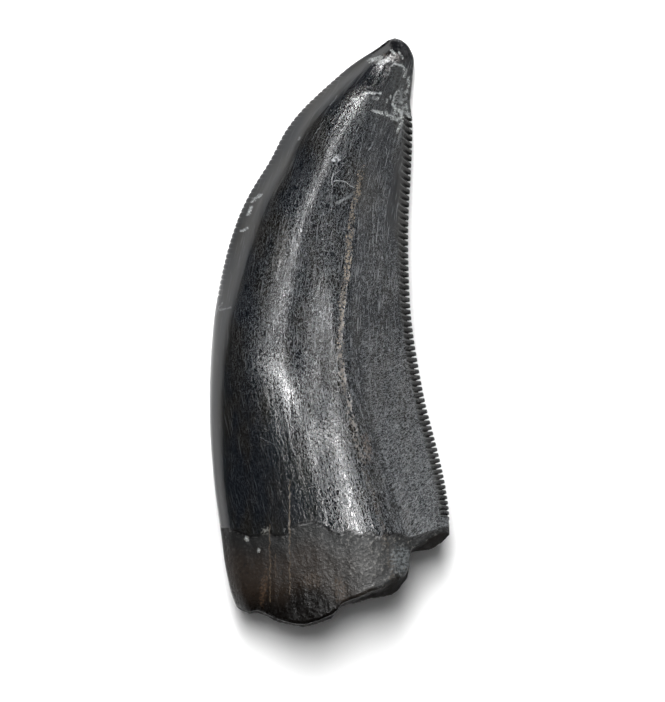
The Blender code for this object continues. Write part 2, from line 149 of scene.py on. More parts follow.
@dataclass
class ToothForm:
    """Shape of the tooth, section by section.

    A station runs from 0 at the broken root to 1 at the tip, and a fraction from 0 at
    the front edge to 1 at the rear edge.

    Attributes:
        front_edge: Stations of the front edge, each with its x and y.
        rear_edge: Stations of the rear edge, each with its x and y.
        feature_stations: The stations at which the features are given.
        upper_places: Fractions of the upper face's features.
        upper_heights: Heights of the edges and of the upper face's features.
        lower_places: Fractions of the lower face's features.
        lower_heights: Heights of the lower face's features.
        front_roundness: How steeply the faces leave the front edge.
        rear_roundness: How steeply the faces leave the rear edge.
        root_reach: The station up to which the break pulls the sections along.
        root_outline: Fractions along the broken end, each with its x and y.
        upper_setback: How far the break's upper rim lies inside that outline.
        lower_setback: How far its lower rim lies inside it.
    """

    front_edge: tuple = (
        (0.00, -7.79, -22.83), (0.02, -8.20, -21.70), (0.05, -8.64, -19.67),
        (0.10, -8.98, -17.17), (0.20, -9.63, -12.33), (0.30, -9.96, -7.33),
        (0.40, -9.88, -2.17), (0.50, -9.40, 2.67), (0.60, -8.27, 7.67), (0.70, -6.54, 11.83),
        (0.75, -5.00, 14.33), (0.80, -3.68, 16.83), (0.90, 0.04, 20.83), (0.95, 2.30, 22.67),
        (0.98, 4.10, 23.83), (0.993, 4.68, 24.26), (0.998, 5.02, 24.47), (1.00, 5.46, 24.60),
    )
    rear_edge: tuple = (
        (0.00, 9.96, -16.83), (0.05, 9.93, -14.92), (0.10, 9.65, -12.92), (0.20, 8.92, -9.58),
        (0.30, 8.02, -6.08), (0.40, 7.33, -2.50), (0.50, 6.80, 1.33), (0.60, 6.60, 5.33),
        (0.70, 6.60, 9.42), (0.80, 6.84, 13.92), (0.85, 6.93, 16.35), (0.882, 6.90, 17.95),
        (0.90, 6.76, 18.83), (0.95, 6.92, 21.17),
        (0.98, 7.01, 23.07), (0.988, 6.84, 23.50), (0.993, 6.60, 23.92), (0.997, 6.24, 24.27),
        (0.999, 5.86, 24.50), (1.00, 5.46, 24.60),
    )
    feature_stations: tuple = (0.00, 0.20, 0.30, 0.40, 0.60, 0.80, 0.90, 0.95, 0.98, 1.00)
    upper_places: dict = field(default_factory=lambda: {
        "front facet": (0.015, 0.015, 0.022, 0.030, 0.060, 0.074, 0.090, 0.110, 0.120, 0.120),
        "front flank": (0.040, 0.040, 0.054, 0.068, 0.120, 0.145, 0.185, 0.225, 0.240, 0.240),
        "front slope": (0.110, 0.110, 0.110, 0.110, 0.165, 0.205, 0.260, 0.290, 0.310, 0.310),
        "front shoulder": (0.200, 0.198, 0.184, 0.170, 0.240, 0.300, 0.360, 0.360, 0.370, 0.370),
        "front ridge": (0.386, 0.386, 0.358, 0.330, 0.380, 0.395, 0.460, 0.450, 0.450, 0.450),
        "furrow": (0.480, 0.470, 0.490, 0.512, 0.475, 0.480, 0.530, 0.520, 0.520, 0.520),
        "rear ridge": (0.600, 0.592, 0.595, 0.600, 0.590, 0.570, 0.600, 0.600, 0.600, 0.600),
        "crease": (0.745, 0.670, 0.652, 0.637, 0.668, 0.650, 0.680, 0.690, 0.700, 0.700),
        "flange": (0.870, 0.836, 0.828, 0.820, 0.830, 0.820, 0.840, 0.850, 0.850, 0.850),
    })
    upper_heights: dict = field(default_factory=lambda: {
        "front edge": (5.00, 4.80, 4.70, 4.60, 3.60, 2.35, 1.95, 1.75, 1.70, 1.70),
        "front facet": (5.85, 5.60, 5.92, 6.25, 4.60, 3.20, 2.58, 2.20, 2.00, 1.80),
        "front flank": (6.50, 6.30, 6.67, 7.05, 5.60, 4.02, 3.26, 2.72, 2.35, 1.90),
        "front slope": (7.40, 7.15, 7.38, 7.60, 6.15, 4.50, 3.62, 2.93, 2.52, 1.90),
        "front shoulder": (8.20, 7.95, 8.06, 8.18, 6.82, 5.04, 3.94, 3.06, 2.60, 1.90),
        "front ridge": (9.34, 9.00, 8.84, 8.75, 7.34, 5.34, 4.08, 3.14, 2.66, 1.90),
        "furrow": (9.72, 9.30, 9.13, 8.46, 7.09, 5.27, 4.03, 3.12, 2.66, 1.90),
        "rear ridge": (10.12, 9.56, 9.26, 8.65, 6.79, 5.06, 3.92, 3.06, 2.62, 1.90),
        "crease": (9.75, 9.35, 9.10, 8.56, 6.52, 4.75, 3.70, 2.92, 2.52, 1.90),
        "flange": (8.50, 7.85, 7.45, 7.05, 5.45, 3.75, 3.05, 2.52, 2.25, 1.90),
        "rear edge": (7.00, 6.35, 5.95, 5.55, 4.15, 2.85, 2.42, 2.10, 1.90, 1.70),
    })
    lower_places: dict = field(default_factory=lambda: {
        "front shoulder": (0.110, 0.110, 0.115, 0.120, 0.160, 0.190, 0.210, 0.230, 0.230, 0.230),
        "belly front": (0.330, 0.330, 0.335, 0.340, 0.350, 0.370, 0.380, 0.390, 0.390, 0.390),
        "belly rear": (0.580, 0.580, 0.585, 0.590, 0.600, 0.600, 0.610, 0.610, 0.610, 0.610),
        "rear slope": (0.810, 0.810, 0.812, 0.815, 0.820, 0.820, 0.830, 0.830, 0.830, 0.830),
    })
    lower_heights: dict = field(default_factory=lambda: {
        "front shoulder": (1.35, 1.20, 1.27, 1.35, 1.75, 1.70, 1.50, 1.35, 1.30, 1.50),
        "belly front": (-0.10, -0.22, -0.17, -0.12, 0.75, 1.00, 0.98, 0.92, 1.00, 1.50),
        "belly rear": (0.00, -0.18, -0.12, -0.05, 0.80, 1.05, 1.00, 0.95, 1.02, 1.50),
        "rear slope": (2.55, 2.35, 2.23, 2.10, 1.95, 1.75, 1.45, 1.25, 1.22, 1.50),
    })
    front_roundness: tuple = (6.0, 6.0, 5.9, 5.6, 1.2, 0.4, 0.3, 0.4, 0.6, 0.6)
    rear_roundness: tuple = (0.4, 0.3, 0.25, 0.2, 0.2, 0.2, 0.2, 0.3, 0.5, 0.6)
    root_reach: float = 0.22
    root_outline: tuple = (
        (0.00, -7.79, -22.83), (0.035, -7.10, -23.18), (0.064, -6.62, -23.38),
        (0.10, -6.04, -23.28), (0.14, -5.27, -23.58), (0.18, -4.58, -23.92),
        (0.22, -3.88, -24.18), (0.27, -3.00, -24.40), (0.32, -2.10, -24.46),
        (0.375, -1.12, -24.20), (0.42, -0.45, -23.92), (0.455, 0.20, -23.58),
        (0.48, 0.66, -23.22), (0.50, 0.95, -22.80), (0.53, 1.60, -22.56),
        (0.57, 2.33, -22.36), (0.63, 3.44, -22.02), (0.685, 4.40, -21.90),
        (0.725, 5.10, -21.72), (0.762, 5.80, -21.30), (0.79, 6.34, -20.60),
        (0.805, 6.56, -19.85), (0.82, 6.65, -18.95), (0.832, 6.72, -18.32),
        (0.85, 7.10, -18.18), (0.88, 7.85, -18.10), (0.92, 8.56, -17.92),
        (0.955, 9.22, -17.58), (0.98, 9.70, -17.18), (1.00, 9.96, -16.83),
    )
    upper_setback: tuple = (
        (0.00, 0.00), (0.08, 0.20), (0.30, 0.30), (0.46, 0.25), (0.50, 0.30), (0.60, 0.55),
        (0.685, 0.80), (0.725, 1.10), (0.75, 1.30), (0.79, 0.80), (0.83, 0.25), (0.86, 0.50),
        (0.90, 1.00), (0.95, 1.10), (0.98, 0.60), (1.00, 0.00),
    )
    lower_setback: tuple = ((0.00, 0.00), (0.15, 0.80), (0.50, 1.30), (0.85, 0.70), (1.00, 0.00))

    def __post_init__(self) -> None:
        """Make the smooth curves of the edges and the features."""
        self._front = SmoothLine(self.front_edge)
        self._rear = SmoothLine(self.rear_edge)
        self._root = SmoothLine(self.root_outline)
        self._places = {
            Face.UPPER: [self._feature(row) for row in self.upper_places.values()],
            Face.LOWER: [self._feature(row) for row in self.lower_places.values()],
        }
        inner_heights = list(self.upper_heights.values())[1:-1]
        self._heights = {
            Face.UPPER: [self._feature(row) for row in inner_heights],
            Face.LOWER: [self._feature(row) for row in self.lower_heights.values()],
        }
        ends = (self.upper_heights["front edge"], self.upper_heights["rear edge"])
        self._edge_heights = [self._feature(row) for row in ends]
        self._roundness = [self._feature(self.front_roundness), self._feature(self.rear_roundness)]

    def _feature(self, values: Sequence[float]) -> SmoothLine:
        """Return the curve of one feature along the tooth."""
        return SmoothLine(list(zip(self.feature_stations, values)))

    def front(self, stations: np.ndarray | float) -> np.ndarray:
        """Return points of the front edge in plan."""
        return self._front.at(stations)

    def rear(self, stations: np.ndarray | float) -> np.ndarray:
        """Return points of the rear edge in plan."""
        return self._rear.at(stations)

    def outline(self, fractions: np.ndarray) -> np.ndarray:
        """Return points of the broken end's outline in plan."""
        return self._root.at(fractions)

    def width(self, station: float) -> float:
        """Return the length of a section's line from edge to edge."""
        return float(np.linalg.norm(self.rear(station) - self.front(station)))

    def feature_place(self, name: str, station: float) -> float:
        """Return the fraction at which a feature of the upper face crosses a section."""
        k = list(self.upper_places).index(name)
        return float(self._places[Face.UPPER][k].at(station)[0, 0])

    def plan(self, station: float, fractions: np.ndarray, face: Face) -> np.ndarray:
        """Return points of one section in plan, drawn out to the broken end.

        Args:
            station: Where the section is.
            fractions: Places across it.
            face: Which face's rim the break follows.

        Returns:
            Rows of x and y.
        """
        front, rear = self.front(station), self.rear(station)
        place = front + (rear - front) * fractions[:, None]
        reach = max(0.0, 1 - station / self.root_reach) ** 2
        if reach > 0:
            base = self.front(0.0) + (self.rear(0.0) - self.front(0.0)) * fractions[:, None]
            end = self.outline(fractions)
            setback = self.upper_setback if face is Face.UPPER else self.lower_setback
            end[:, 1] += straight(setback, fractions)[:, 0]
            place = place + (end - base) * reach
        return place

    def heights(self, station: float, fractions: np.ndarray, face: Face) -> np.ndarray:
        """Return the heights of one section's face, flat where it rests on the table.

        Args:
            station: Where the section is.
            fractions: Places across it.
            face: Which face to read.

        Returns:
            One height for each fraction.
        """
        front, rear = (float(line.at(station)[0, 0]) for line in self._edge_heights)
        knots = [(0.0, front)]
        for place, height in zip(self._places[face], self._heights[face]):
            turn = math.acos(1 - 2 * float(place.at(station)[0, 0]))
            knots.append((turn, float(height.at(station)[0, 0])))
        knots.append((math.pi, rear))
        line = SmoothLine(knots)
        rise = 1 if face is Face.UPPER else -1
        line.slopes[0] = rise * self._roundness[0].at(station)[0, 0]
        line.slopes[-1] = -rise * self._roundness[1].at(station)[0, 0]
        turns = np.arccos(1 - 2 * np.clip(fractions, 0.0, 1.0))
        return np.maximum(line.at(turns)[:, 0], 0.0)

    def skin(self, station: float, fractions: np.ndarray, face: Face) -> np.ndarray:
        """Return points of one face along a section, as rows of x, y and z."""
        heights = self.heights(station, fractions, face)
        return np.column_stack([self.plan(station, fractions, face), heights])


@dataclass
class EnamelEdge:
    """The lower edge of the enamel, where the duller root begins.

    Attributes:
        upper_line: x and y along the edge on the upper face.
        lower_line: x and y along the edge on the lower face.
        thickness: How far the enamel stands above the root.
        slope: The length over which it drops.
    """

    upper_line: tuple = (
        (-9.6, -15.9), (-8.6, -16.3), (-7.6, -16.6), (-6.6, -17.0), (-5.7, -16.8),
        (-4.9, -16.7), (-4.2, -16.9), (-3.5, -16.8), (-3.1, -16.2), (-2.2, -15.8),
        (-1.3, -15.7), (-0.6, -16.0), (0.2, -16.5), (0.9, -16.7), (1.6, -16.4),
        (2.1, -16.5), (2.6, -16.9), (3.0, -16.7), (3.3, -16.5), (3.7, -16.7),
        (4.2, -17.0), (4.8, -16.8), (5.6, -16.7), (6.6, -17.1), (7.5, -16.9),
        (8.4, -16.6), (9.1, -16.4), (10.2, -16.1),
    )
    lower_line: tuple = (
        (-9.6, -15.9), (-7.0, -16.8), (-4.0, -17.4), (-1.0, -17.1), (2.0, -17.6),
        (5.0, -17.2), (7.5, -16.8), (10.2, -16.1),
    )
    thickness: float = 0.012
    slope: float = 0.22

    def gap(self, points: np.ndarray, face: Face) -> np.ndarray:
        """Return how far points lie above the edge, towards the tip."""
        line = self.upper_line if face is Face.UPPER else self.lower_line
        return points[:, 1] - straight(line, points[:, 0])[:, 0]


@dataclass
class SawEdge:
    """One cutting edge with its row of little saw teeth.

    Attributes:
        at_front: True for the front edge.
        first: Station of the first saw tooth.
        last: Station where the row ends.
        count: Number of saw teeth.
        pitch_root: Relative pitch at the first one.
        pitch_tip: Relative pitch at the last one.
        strength: How deep its slits are, against the deeper of the two edges.
        shape: Places of the mesh rows over one saw tooth, from slit to slit.
        samples: Number of stations at which the edge's length is measured.
        clearance: Room between the saw's rows and the plain ones, in plain rows.
        fade_start: How far the first saw tooth already is along the fade.
        fade_end: Count of saw teeth after which they reach their full depth.
    """

    at_front: bool
    first: float
    last: float
    count: int
    pitch_root: float
    pitch_tip: float
    strength: float = 1.0
    shape: tuple = (0.0, 0.05, 0.10, 0.17, 0.27, 0.42, 0.58, 0.73, 0.83, 0.90, 0.95)
    samples: int = 600
    clearance: float = 0.4
    fade_start: float = 0.35
    fade_end: float = 1.2

    def share(self, station: float, count: float) -> float:
        """Return how deep the slits are at a row, from 0 where there are none to strength."""
        if not self.first <= station <= self.last:
            return 0.0
        from_end = min(count, self.count - count) + self.fade_start
        return self.strength * float(ease(0.0, self.fade_end, np.array([from_end]))[0])

    def runs(self, form: ToothForm) -> tuple[np.ndarray, np.ndarray]:
        """Return matching stations and running counts of saw teeth along the edge."""
        stations = np.linspace(self.first, self.last, self.samples)
        line = form.front(stations) if self.at_front else form.rear(stations)
        steps = np.linalg.norm(np.diff(line, axis=0), axis=1)
        lengths = np.concatenate(([0.0], np.cumsum(steps)))
        pitches = np.linspace(self.pitch_root, self.pitch_tip, self.count)
        marks = np.concatenate(([0.0], np.cumsum(pitches))) / pitches.sum() * lengths[-1]
        counts = np.interp(lengths, marks, np.arange(self.count + 1))
        return stations, counts

    def rows(self, form: ToothForm, plain: np.ndarray) -> tuple[np.ndarray, np.ndarray]:
        """Return the stations of the edge's mesh rows and their running counts.

        Args:
            form: The tooth.
            plain: Stations of the rows where the edge has no saw teeth.

        Returns:
            Stations in rising order, and the count at each, held at the row's ends.
        """
        stations, counts = self.runs(form)
        fine = (np.arange(self.count)[:, None] + np.array(self.shape)[None, :]).ravel()
        fine = np.append(fine, float(self.count))
        fine_stations = np.interp(fine, counts, stations)
        gap = self.clearance * float(plain[2] - plain[1])
        before = plain[plain < self.first - gap]
        after = plain[plain > self.last + gap]
        all_stations = np.concatenate([before, fine_stations, after])
        all_counts = np.concatenate([
            np.zeros(len(before)), fine, np.full(len(after), float(self.count))
        ])
        return all_stations, all_counts


class Shell:
    """Points, faces and point values of a mesh while it is put together."""

    def __init__(self) -> None:
        """Start with nothing."""
        self.points: list[np.ndarray] = []
        self.values: list[dict[str, np.ndarray]] = []
        self.faces: list[tuple[int, ...]] = []
        self.size = 0

    def add(self, points: np.ndarray, values: dict[str, np.ndarray]) -> np.ndarray:
        """Add points and return their numbers.

        Args:
            points: Rows of x, y and z.
            values: One array for each point value.

        Returns:
            The numbers of the points.
        """
        self.points.append(points)
        self.values.append(values)
        start = self.size
        self.size += len(points)
        return np.arange(start, self.size)

    def quads(self, grid: np.ndarray, flip: bool) -> None:
        """Fill a grid of point numbers, rows by columns, with four-cornered faces."""
        a, b = grid[:-1, :-1].ravel(), grid[:-1, 1:].ravel()
        c, d = grid[1:, 1:].ravel(), grid[1:, :-1].ravel()
        corners = (d, c, b, a) if flip else (a, b, c, d)
        for face in zip(*(side.tolist() for side in corners)):
            distinct = tuple(dict.fromkeys(face))
            if len(distinct) > 2:
                self.faces.append(distinct)

    def seam(
        self, left: np.ndarray, left_at: np.ndarray, right: np.ndarray, right_at: np.ndarray,
        flip: bool,
    ) -> None:
        """Join two columns whose rows differ, always by the lower of the next stations.

        Args:
            left: Point numbers of the left column.
            left_at: Their stations.
            right: Point numbers of the right column.
            right_at: Their stations.
            flip: True to turn the faces over.
        """
        i, j = 0, 0
        while i < len(left) - 1 or j < len(right) - 1:
            next_left = left_at[i + 1] if i < len(left) - 1 else math.inf
            next_right = right_at[j + 1] if j < len(right) - 1 else math.inf
            if next_left <= next_right:
                face = (int(left[i]), int(right[j]), int(left[i + 1]))
                i += 1
            else:
                face = (int(left[i]), int(right[j]), int(right[j + 1]))
                j += 1
            self.faces.append(face[::-1] if flip else face)

    def mesh(self, name: str) -> bpy.types.Mesh:
        """Return the mesh in metres, with every point value as an attribute."""
        data = bpy.data.meshes.new(name)
        points = np.concatenate(self.points) * MM
        data.from_pydata(points.tolist(), [], self.faces)
        for key in self.values[0]:
            column = np.concatenate([block[key] for block in self.values]).astype(np.float32)
            is_vector = column.ndim == 2
            kind = "FLOAT_VECTOR" if is_vector else "FLOAT"
            attribute = data.attributes.new(key, kind, "POINT")
            attribute.data.foreach_set("vector" if is_vector else "value", column.ravel())
        data.shade_smooth()
        return data


class Graph:
    """Adds nodes to one node tree and joins them.

    Attributes:
        MIX_COLOURS: Numbers of a mix node's two colour inputs.
        MIX_RESULT: Number of its colour output.
    """

    MIX_COLOURS = (6, 7)
    MIX_RESULT = 2

    def __init__(self, tree: Tree) -> None:
        """Work on a tree."""
        self.tree = tree

    def node(self, kind: str, **settings: Value) -> bpy.types.Node:
        """Add a node and set its properties.

        Args:
            kind: The node's type name.
            **settings: Its properties.

        Returns:
            The new node.
        """
        node = self.tree.nodes.new(kind)
        for name, value in settings.items():
            setattr(node, name, value)
        return node

    def feed(self, socket: Socket, value: Value) -> None:
        """Join a socket to another one, or give it a constant."""
        if isinstance(value, Socket):
            self.tree.links.new(value, socket)
        else:
            socket.default_value = value

    def make(self, kind: str, inputs: dict, **settings: Value) -> bpy.types.Node:
        """Add a node, set its properties and feed its named or numbered inputs."""
        node = self.node(kind, **settings)
        for name, value in inputs.items():
            self.feed(node.inputs[name], value)
        return node

    def math(self, operation: str, *values: Value, clamp: bool = False) -> Socket:
        """Return a number worked out from one to three numbers."""
        node = self.make("ShaderNodeMath", dict(enumerate(values)), operation=operation)
        node.use_clamp = clamp
        return node.outputs[0]

    def times(self, first: Value, *others: Value) -> Value:
        """Return the product of two or more numbers."""
        for other in others:
            first = self.math("MULTIPLY", first, other)
        return first

    def most(self, first: Value, second: Value) -> Socket:
        """Return the larger of two numbers."""
        return self.math("MAXIMUM", first, second)

    def rest(self, share: Value) -> Socket:
        """Return what a share leaves of 1."""
        return self.math("SUBTRACT", 1.0, share)

    def vector(self, operation: str, *values: Value) -> Socket:
        """Return a vector worked out from one or two vectors."""
        inputs = dict(enumerate(values))
        return self.make("ShaderNodeVectorMath", inputs, operation=operation).outputs[0]

    def length(self, value: Value) -> Socket:
        """Return the length of a vector."""
        node = self.make("ShaderNodeVectorMath", {0: value}, operation="LENGTH")
        return node.outputs["Value"]

    def dot(self, first: Value, second: Value) -> Socket:
        """Return the dot product of two vectors."""
        inputs = {0: first, 1: second}
        node = self.make("ShaderNodeVectorMath", inputs, operation="DOT_PRODUCT")
        return node.outputs["Value"]

    def scaled(self, value: Value, factor: Value) -> Socket:
        """Return a vector times a number."""
        node = self.make("ShaderNodeVectorMath", {0: value, 3: factor}, operation="SCALE")
        return node.outputs[0]

    def step(
        self, value: Value, low: Value, high: Value, to_low: Value = 0.0, to_high: Value = 1.0
    ) -> Socket:
        """Return a soft step from to_low at low to to_high at high."""
        inputs = {0: value, 1: low, 2: high, 3: to_low, 4: to_high}
        node = self.make("ShaderNodeMapRange", inputs, interpolation_type="SMOOTHSTEP")
        return node.outputs[0]

    def ramp(
        self, value: Value, low: Value, high: Value, to_low: Value = 0.0, to_high: Value = 1.0
    ) -> Socket:
        """Return a straight ramp from to_low at low to to_high at high."""
        inputs = {0: value, 1: low, 2: high, 3: to_low, 4: to_high}
        return self.make("ShaderNodeMapRange", inputs).outputs[0]

    def mix(self, share: Value, first: Value, second: Value) -> Socket:
        """Return a number between two: the first at share 0, the second at share 1."""
        return self.ramp(share, 0.0, 1.0, first, second)

    def blend(self, share: Value, first: Value, second: Value) -> Socket:
        """Return a colour between two, each a socket or a plain colour."""
        node = self.node("ShaderNodeMix", data_type="RGBA")
        self.feed(node.inputs["Factor"], share)
        for number, colour in zip(self.MIX_COLOURS, (first, second)):
            self.feed(node.inputs[number], (*colour, 1.0) if isinstance(colour, tuple) else colour)
        return node.outputs[self.MIX_RESULT]

    def noise(
        self, vector: Value, scale: Value, detail: float = 2.0, rough: float = 0.5,
        warp: Value = 0.0,
    ) -> Socket:
        """Return smooth noise between about 0 and 1."""
        inputs = {
            "Vector": vector, "Scale": scale, "Detail": detail, "Roughness": rough,
            "Distortion": warp,
        }
        return self.make("ShaderNodeTexNoise", inputs).outputs[0]

    def combine(self, x: Value, y: Value, z: Value) -> Socket:
        """Return a vector made of three numbers."""
        return self.make("ShaderNodeCombineXYZ", {0: x, 1: y, 2: z}).outputs[0]

    def turned(self, vector: Value, angle: Value) -> Socket:
        """Return a vector turned about the vertical, by an angle in radians."""
        inputs = {"Vector": vector, "Angle": angle}
        return self.make("ShaderNodeVectorRotate", inputs, rotation_type="Z_AXIS").outputs[0]

    def point_value(self, name: str, output: str = "Fac") -> Socket:
        """Return one of the mesh's point values inside a material."""
        return self.node("ShaderNodeAttribute", attribute_name=name).outputs[output]

    def place(self) -> Socket:
        """Return the object coordinates inside a material, in millimetres."""
        return self.scaled(self.node("ShaderNodeTexCoord").outputs["Object"], 1 / MM)

    def group(self, tree: Tree, inputs: dict) -> bpy.types.Node:
        """Add a shader group and feed its named inputs."""
        return self.make("ShaderNodeGroup", inputs, node_tree=tree)


class Kind(Enum):
    """What an input or output of a node group holds."""

    GEOMETRY = "NodeSocketGeometry"
    MATERIAL = "NodeSocketMaterial"
    VECTOR = "NodeSocketVector"
    TEXT = "NodeSocketString"
    NUMBER = "NodeSocketFloat"
    WHOLE_NUMBER = "NodeSocketInt"


def new_tree(
    name: str, tree_type: str, inputs: dict[str, Kind | float | int], outputs: dict[str, Kind]
) -> tuple[Graph, Value, Value]:
    """Make a node group with named inputs and outputs.

    Args:
        name: The group's name.
        tree_type: "ShaderNodeTree" or "GeometryNodeTree".
        inputs: What each input holds, or the first value of one that holds a number.
        outputs: What each output holds.

    Returns:
        The graph, the sockets that give its inputs and those that take its outputs.
    """
    tree = bpy.data.node_groups.new(name, tree_type)
    for label, held in inputs.items():
        kind = Kind.WHOLE_NUMBER if isinstance(held, int) else Kind.NUMBER
        kind = held if isinstance(held, Kind) else kind
        socket = tree.interface.new_socket(name=label, in_out="INPUT", socket_type=kind.value)
        if held is not kind:
            socket.default_value = held
    for label, kind in outputs.items():
        tree.interface.new_socket(name=label, in_out="OUTPUT", socket_type=kind.value)
    graph = Graph(tree)
    start, end = graph.node("NodeGroupInput"), graph.node("NodeGroupOutput")
    return graph, start.outputs, end.inputs


def apply_tree(piece: bpy.types.Object, tree: Tree, values: dict[str, Value]) -> None:
    """Run a Geometry Nodes tree on a piece and keep its result as a plain mesh.

    Args:
        piece: The object, whose mesh is replaced.
        tree: The tree.
        values: A value for each named input.
    """
    modifier = piece.modifiers.new(tree.name, "NODES")
    modifier.node_group = tree
    for item in tree.interface.items_tree:
        if item.in_out == "INPUT" and item.name in values:
            modifier[item.identifier] = values[item.name]
    bpy.context.view_layer.update()
    depsgraph = bpy.context.evaluated_depsgraph_get()
    result = bpy.data.meshes.new_from_object(piece.evaluated_get(depsgraph))
    piece.modifiers.remove(modifier)
    old = piece.data
    piece.data = result
    bpy.data.meshes.remove(old)
    result.name = piece.name


def attribute_node(graph: Graph, name: str, is_vector: bool = False) -> Socket:
    """Return a named point value inside a Geometry Nodes tree."""
    kind = "FLOAT_VECTOR" if is_vector else "FLOAT"
    node = graph.make("GeometryNodeInputNamedAttribute", {"Name": name}, data_type=kind)
    return node.outputs["Attribute"]


def dressed(graph: Graph, geometry: Value, material: Value) -> Socket:
    """Return geometry with every instance made real and a material on all of it."""
    whole = graph.make("GeometryNodeRealizeInstances", {0: geometry})
    inputs = {"Geometry": whole.outputs[0], "Material": material}
    return graph.make("GeometryNodeSetMaterial", inputs).outputs[0]


def saw_tree() -> Tree:
    """Geometry Nodes that cut the slits between the saw teeth of both edges."""
    graph, given, out = new_tree("saw_slits", "GeometryNodeTree", {
        "Geometry": Kind.GEOMETRY, "Notch Depth": 0.1, "Tooth Roundness": 0.1,
        "Slit Depth": 0.15, "Slit Length": 0.8, "Slit Share": 0.5, "Slant": 0.0,
        "Unevenness": 0.3, "Seed": 0.0, "Material": Kind.MATERIAL,
        "Root Material": Kind.MATERIAL,
    }, {"Geometry": Kind.GEOMETRY})
    run = attribute_node(graph, "saw_run")
    gap = attribute_node(graph, "edge_gap")
    share = attribute_node(graph, "saw_share")
    inward = attribute_node(graph, "inward", is_vector=True)
    station = attribute_node(graph, "station")
    slant = graph.step(station, *SLANT_SPAN, 0.0, given["Slant"])
    run = graph.math("SUBTRACT", run, graph.times(gap, slant))
    nearest = graph.math("ROUND", run)
    off = graph.math("ABSOLUTE", graph.math("SUBTRACT", run, nearest))
    half_share = graph.times(given["Slit Share"], 0.5)
    slit = graph.step(off, 0.0, half_share, 1.0, 0.0)
    crown = graph.math("POWER", graph.math("MULTIPLY_ADD", off, -2.0, 1.0), 3.0)
    spot = graph.combine(nearest, given["Seed"], SAW_LAYER)
    wobble = graph.noise(spot, SAW_NOISE_SCALE, 1.0)
    spread = graph.times(graph.math("SUBTRACT", wobble, 0.5), 3.0)
    uneven = graph.math("MULTIPLY_ADD", spread, given["Unevenness"], 1.0)
    strength = graph.times(slit, uneven, share)
    reach = graph.times(given["Slit Length"], uneven)
    along = graph.step(gap, graph.times(reach, 0.35), reach, 1.0, 0.0)
    near = graph.step(gap, 0.0, graph.times(reach, 0.4), 1.0, 0.0)
    rounded = graph.times(crown, share, given["Tooth Roundness"])
    notch = graph.math("MULTIPLY_ADD", strength, given["Notch Depth"], rounded)
    pull = graph.times(notch, near, MM)
    sink = graph.times(strength, along, graph.math("POWER", share, 3.0))
    sink = graph.times(sink, graph.times(given["Slit Depth"], -MM))
    normal = graph.node("GeometryNodeInputNormal").outputs[0]
    offset = graph.vector("ADD", graph.scaled(inward, pull), graph.scaled(normal, sink))
    inputs = {"Geometry": given["Geometry"], "Offset": offset}
    moved = graph.make("GeometryNodeSetPosition", inputs)
    whole = dressed(graph, moved.outputs[0], given["Material"])
    bare = graph.math("LESS_THAN", attribute_node(graph, "enamel_gap"), -0.1)
    rooted = graph.make("GeometryNodeSetMaterial", {
        "Geometry": whole, "Selection": bare, "Material": given["Root Material"],
    })
    graph.feed(out[0], rooted.outputs[0])
    return graph.tree


def relief_tree() -> Tree:
    """Geometry Nodes that raise the streaks of the enamel and roughen root and break."""
    graph, given, out = new_tree("face_relief", "GeometryNodeTree", {
        "Geometry": Kind.GEOMETRY, "Streak Height": 0.02, "Streak Spacing": 0.5,
        "Streak Length": 6.0, "Root Height": 0.05, "Root Lump": 0.9, "Break Height": 0.3,
        "Break Lump": 1.6, "Seed": 0.0, "Material": Kind.MATERIAL,
    }, {"Geometry": Kind.GEOMETRY})
    flow = attribute_node(graph, "flow", is_vector=True)
    enamel = graph.step(attribute_node(graph, "enamel_gap"), -0.1, 0.3)
    broken = attribute_node(graph, "broken")
    free = graph.step(attribute_node(graph, "edge_gap"), 0.3, 1.2)
    seeded = graph.vector("ADD", flow, graph.combine(0.0, 0.0, given["Seed"]))
    spacing = given["Streak Spacing"]
    fine = graph.combine(
        graph.math("DIVIDE", 1.0, spacing),
        graph.math("DIVIDE", 1.0, given["Streak Length"]),
        graph.math("DIVIDE", 0.5, spacing),
    )
    streak = graph.noise(graph.vector("MULTIPLY", seeded, fine), 1.0, 2.0, 0.55)
    lumps = graph.noise(seeded, graph.math("DIVIDE", 1.0, given["Root Lump"]), 3.0, 0.6)
    shards = graph.noise(seeded, graph.math("DIVIDE", 1.0, given["Break Lump"]), 4.0, 0.65)
    on_enamel = graph.times(enamel, free, given["Streak Height"])
    on_root = graph.times(graph.rest(enamel), free, given["Root Height"])
    on_break = graph.times(broken, given["Break Height"])
    rise = graph.times(graph.math("SUBTRACT", streak, 0.5), on_enamel)
    rise = graph.math("MULTIPLY_ADD", graph.math("SUBTRACT", lumps, 0.5), on_root, rise)
    rise = graph.math("MULTIPLY_ADD", graph.math("SUBTRACT", shards, 0.5), on_break, rise)
    rise = graph.times(rise, 2.0 * MM)
    normal = graph.node("GeometryNodeInputNormal").outputs[0]
    moved = graph.make("GeometryNodeSetPosition", {
        "Geometry": given["Geometry"], "Offset": graph.scaled(normal, rise),
    })
    place = graph.node("GeometryNodeInputPosition").outputs[0]
    on_table = graph.vector("MAXIMUM", place, (-1.0, -1.0, 0.0))
    rested = graph.make("GeometryNodeSetPosition",
                        {"Geometry": moved.outputs[0], "Position": on_table})
    graph.feed(out[0], dressed(graph, rested.outputs[0], given["Material"]))
    return graph.tree


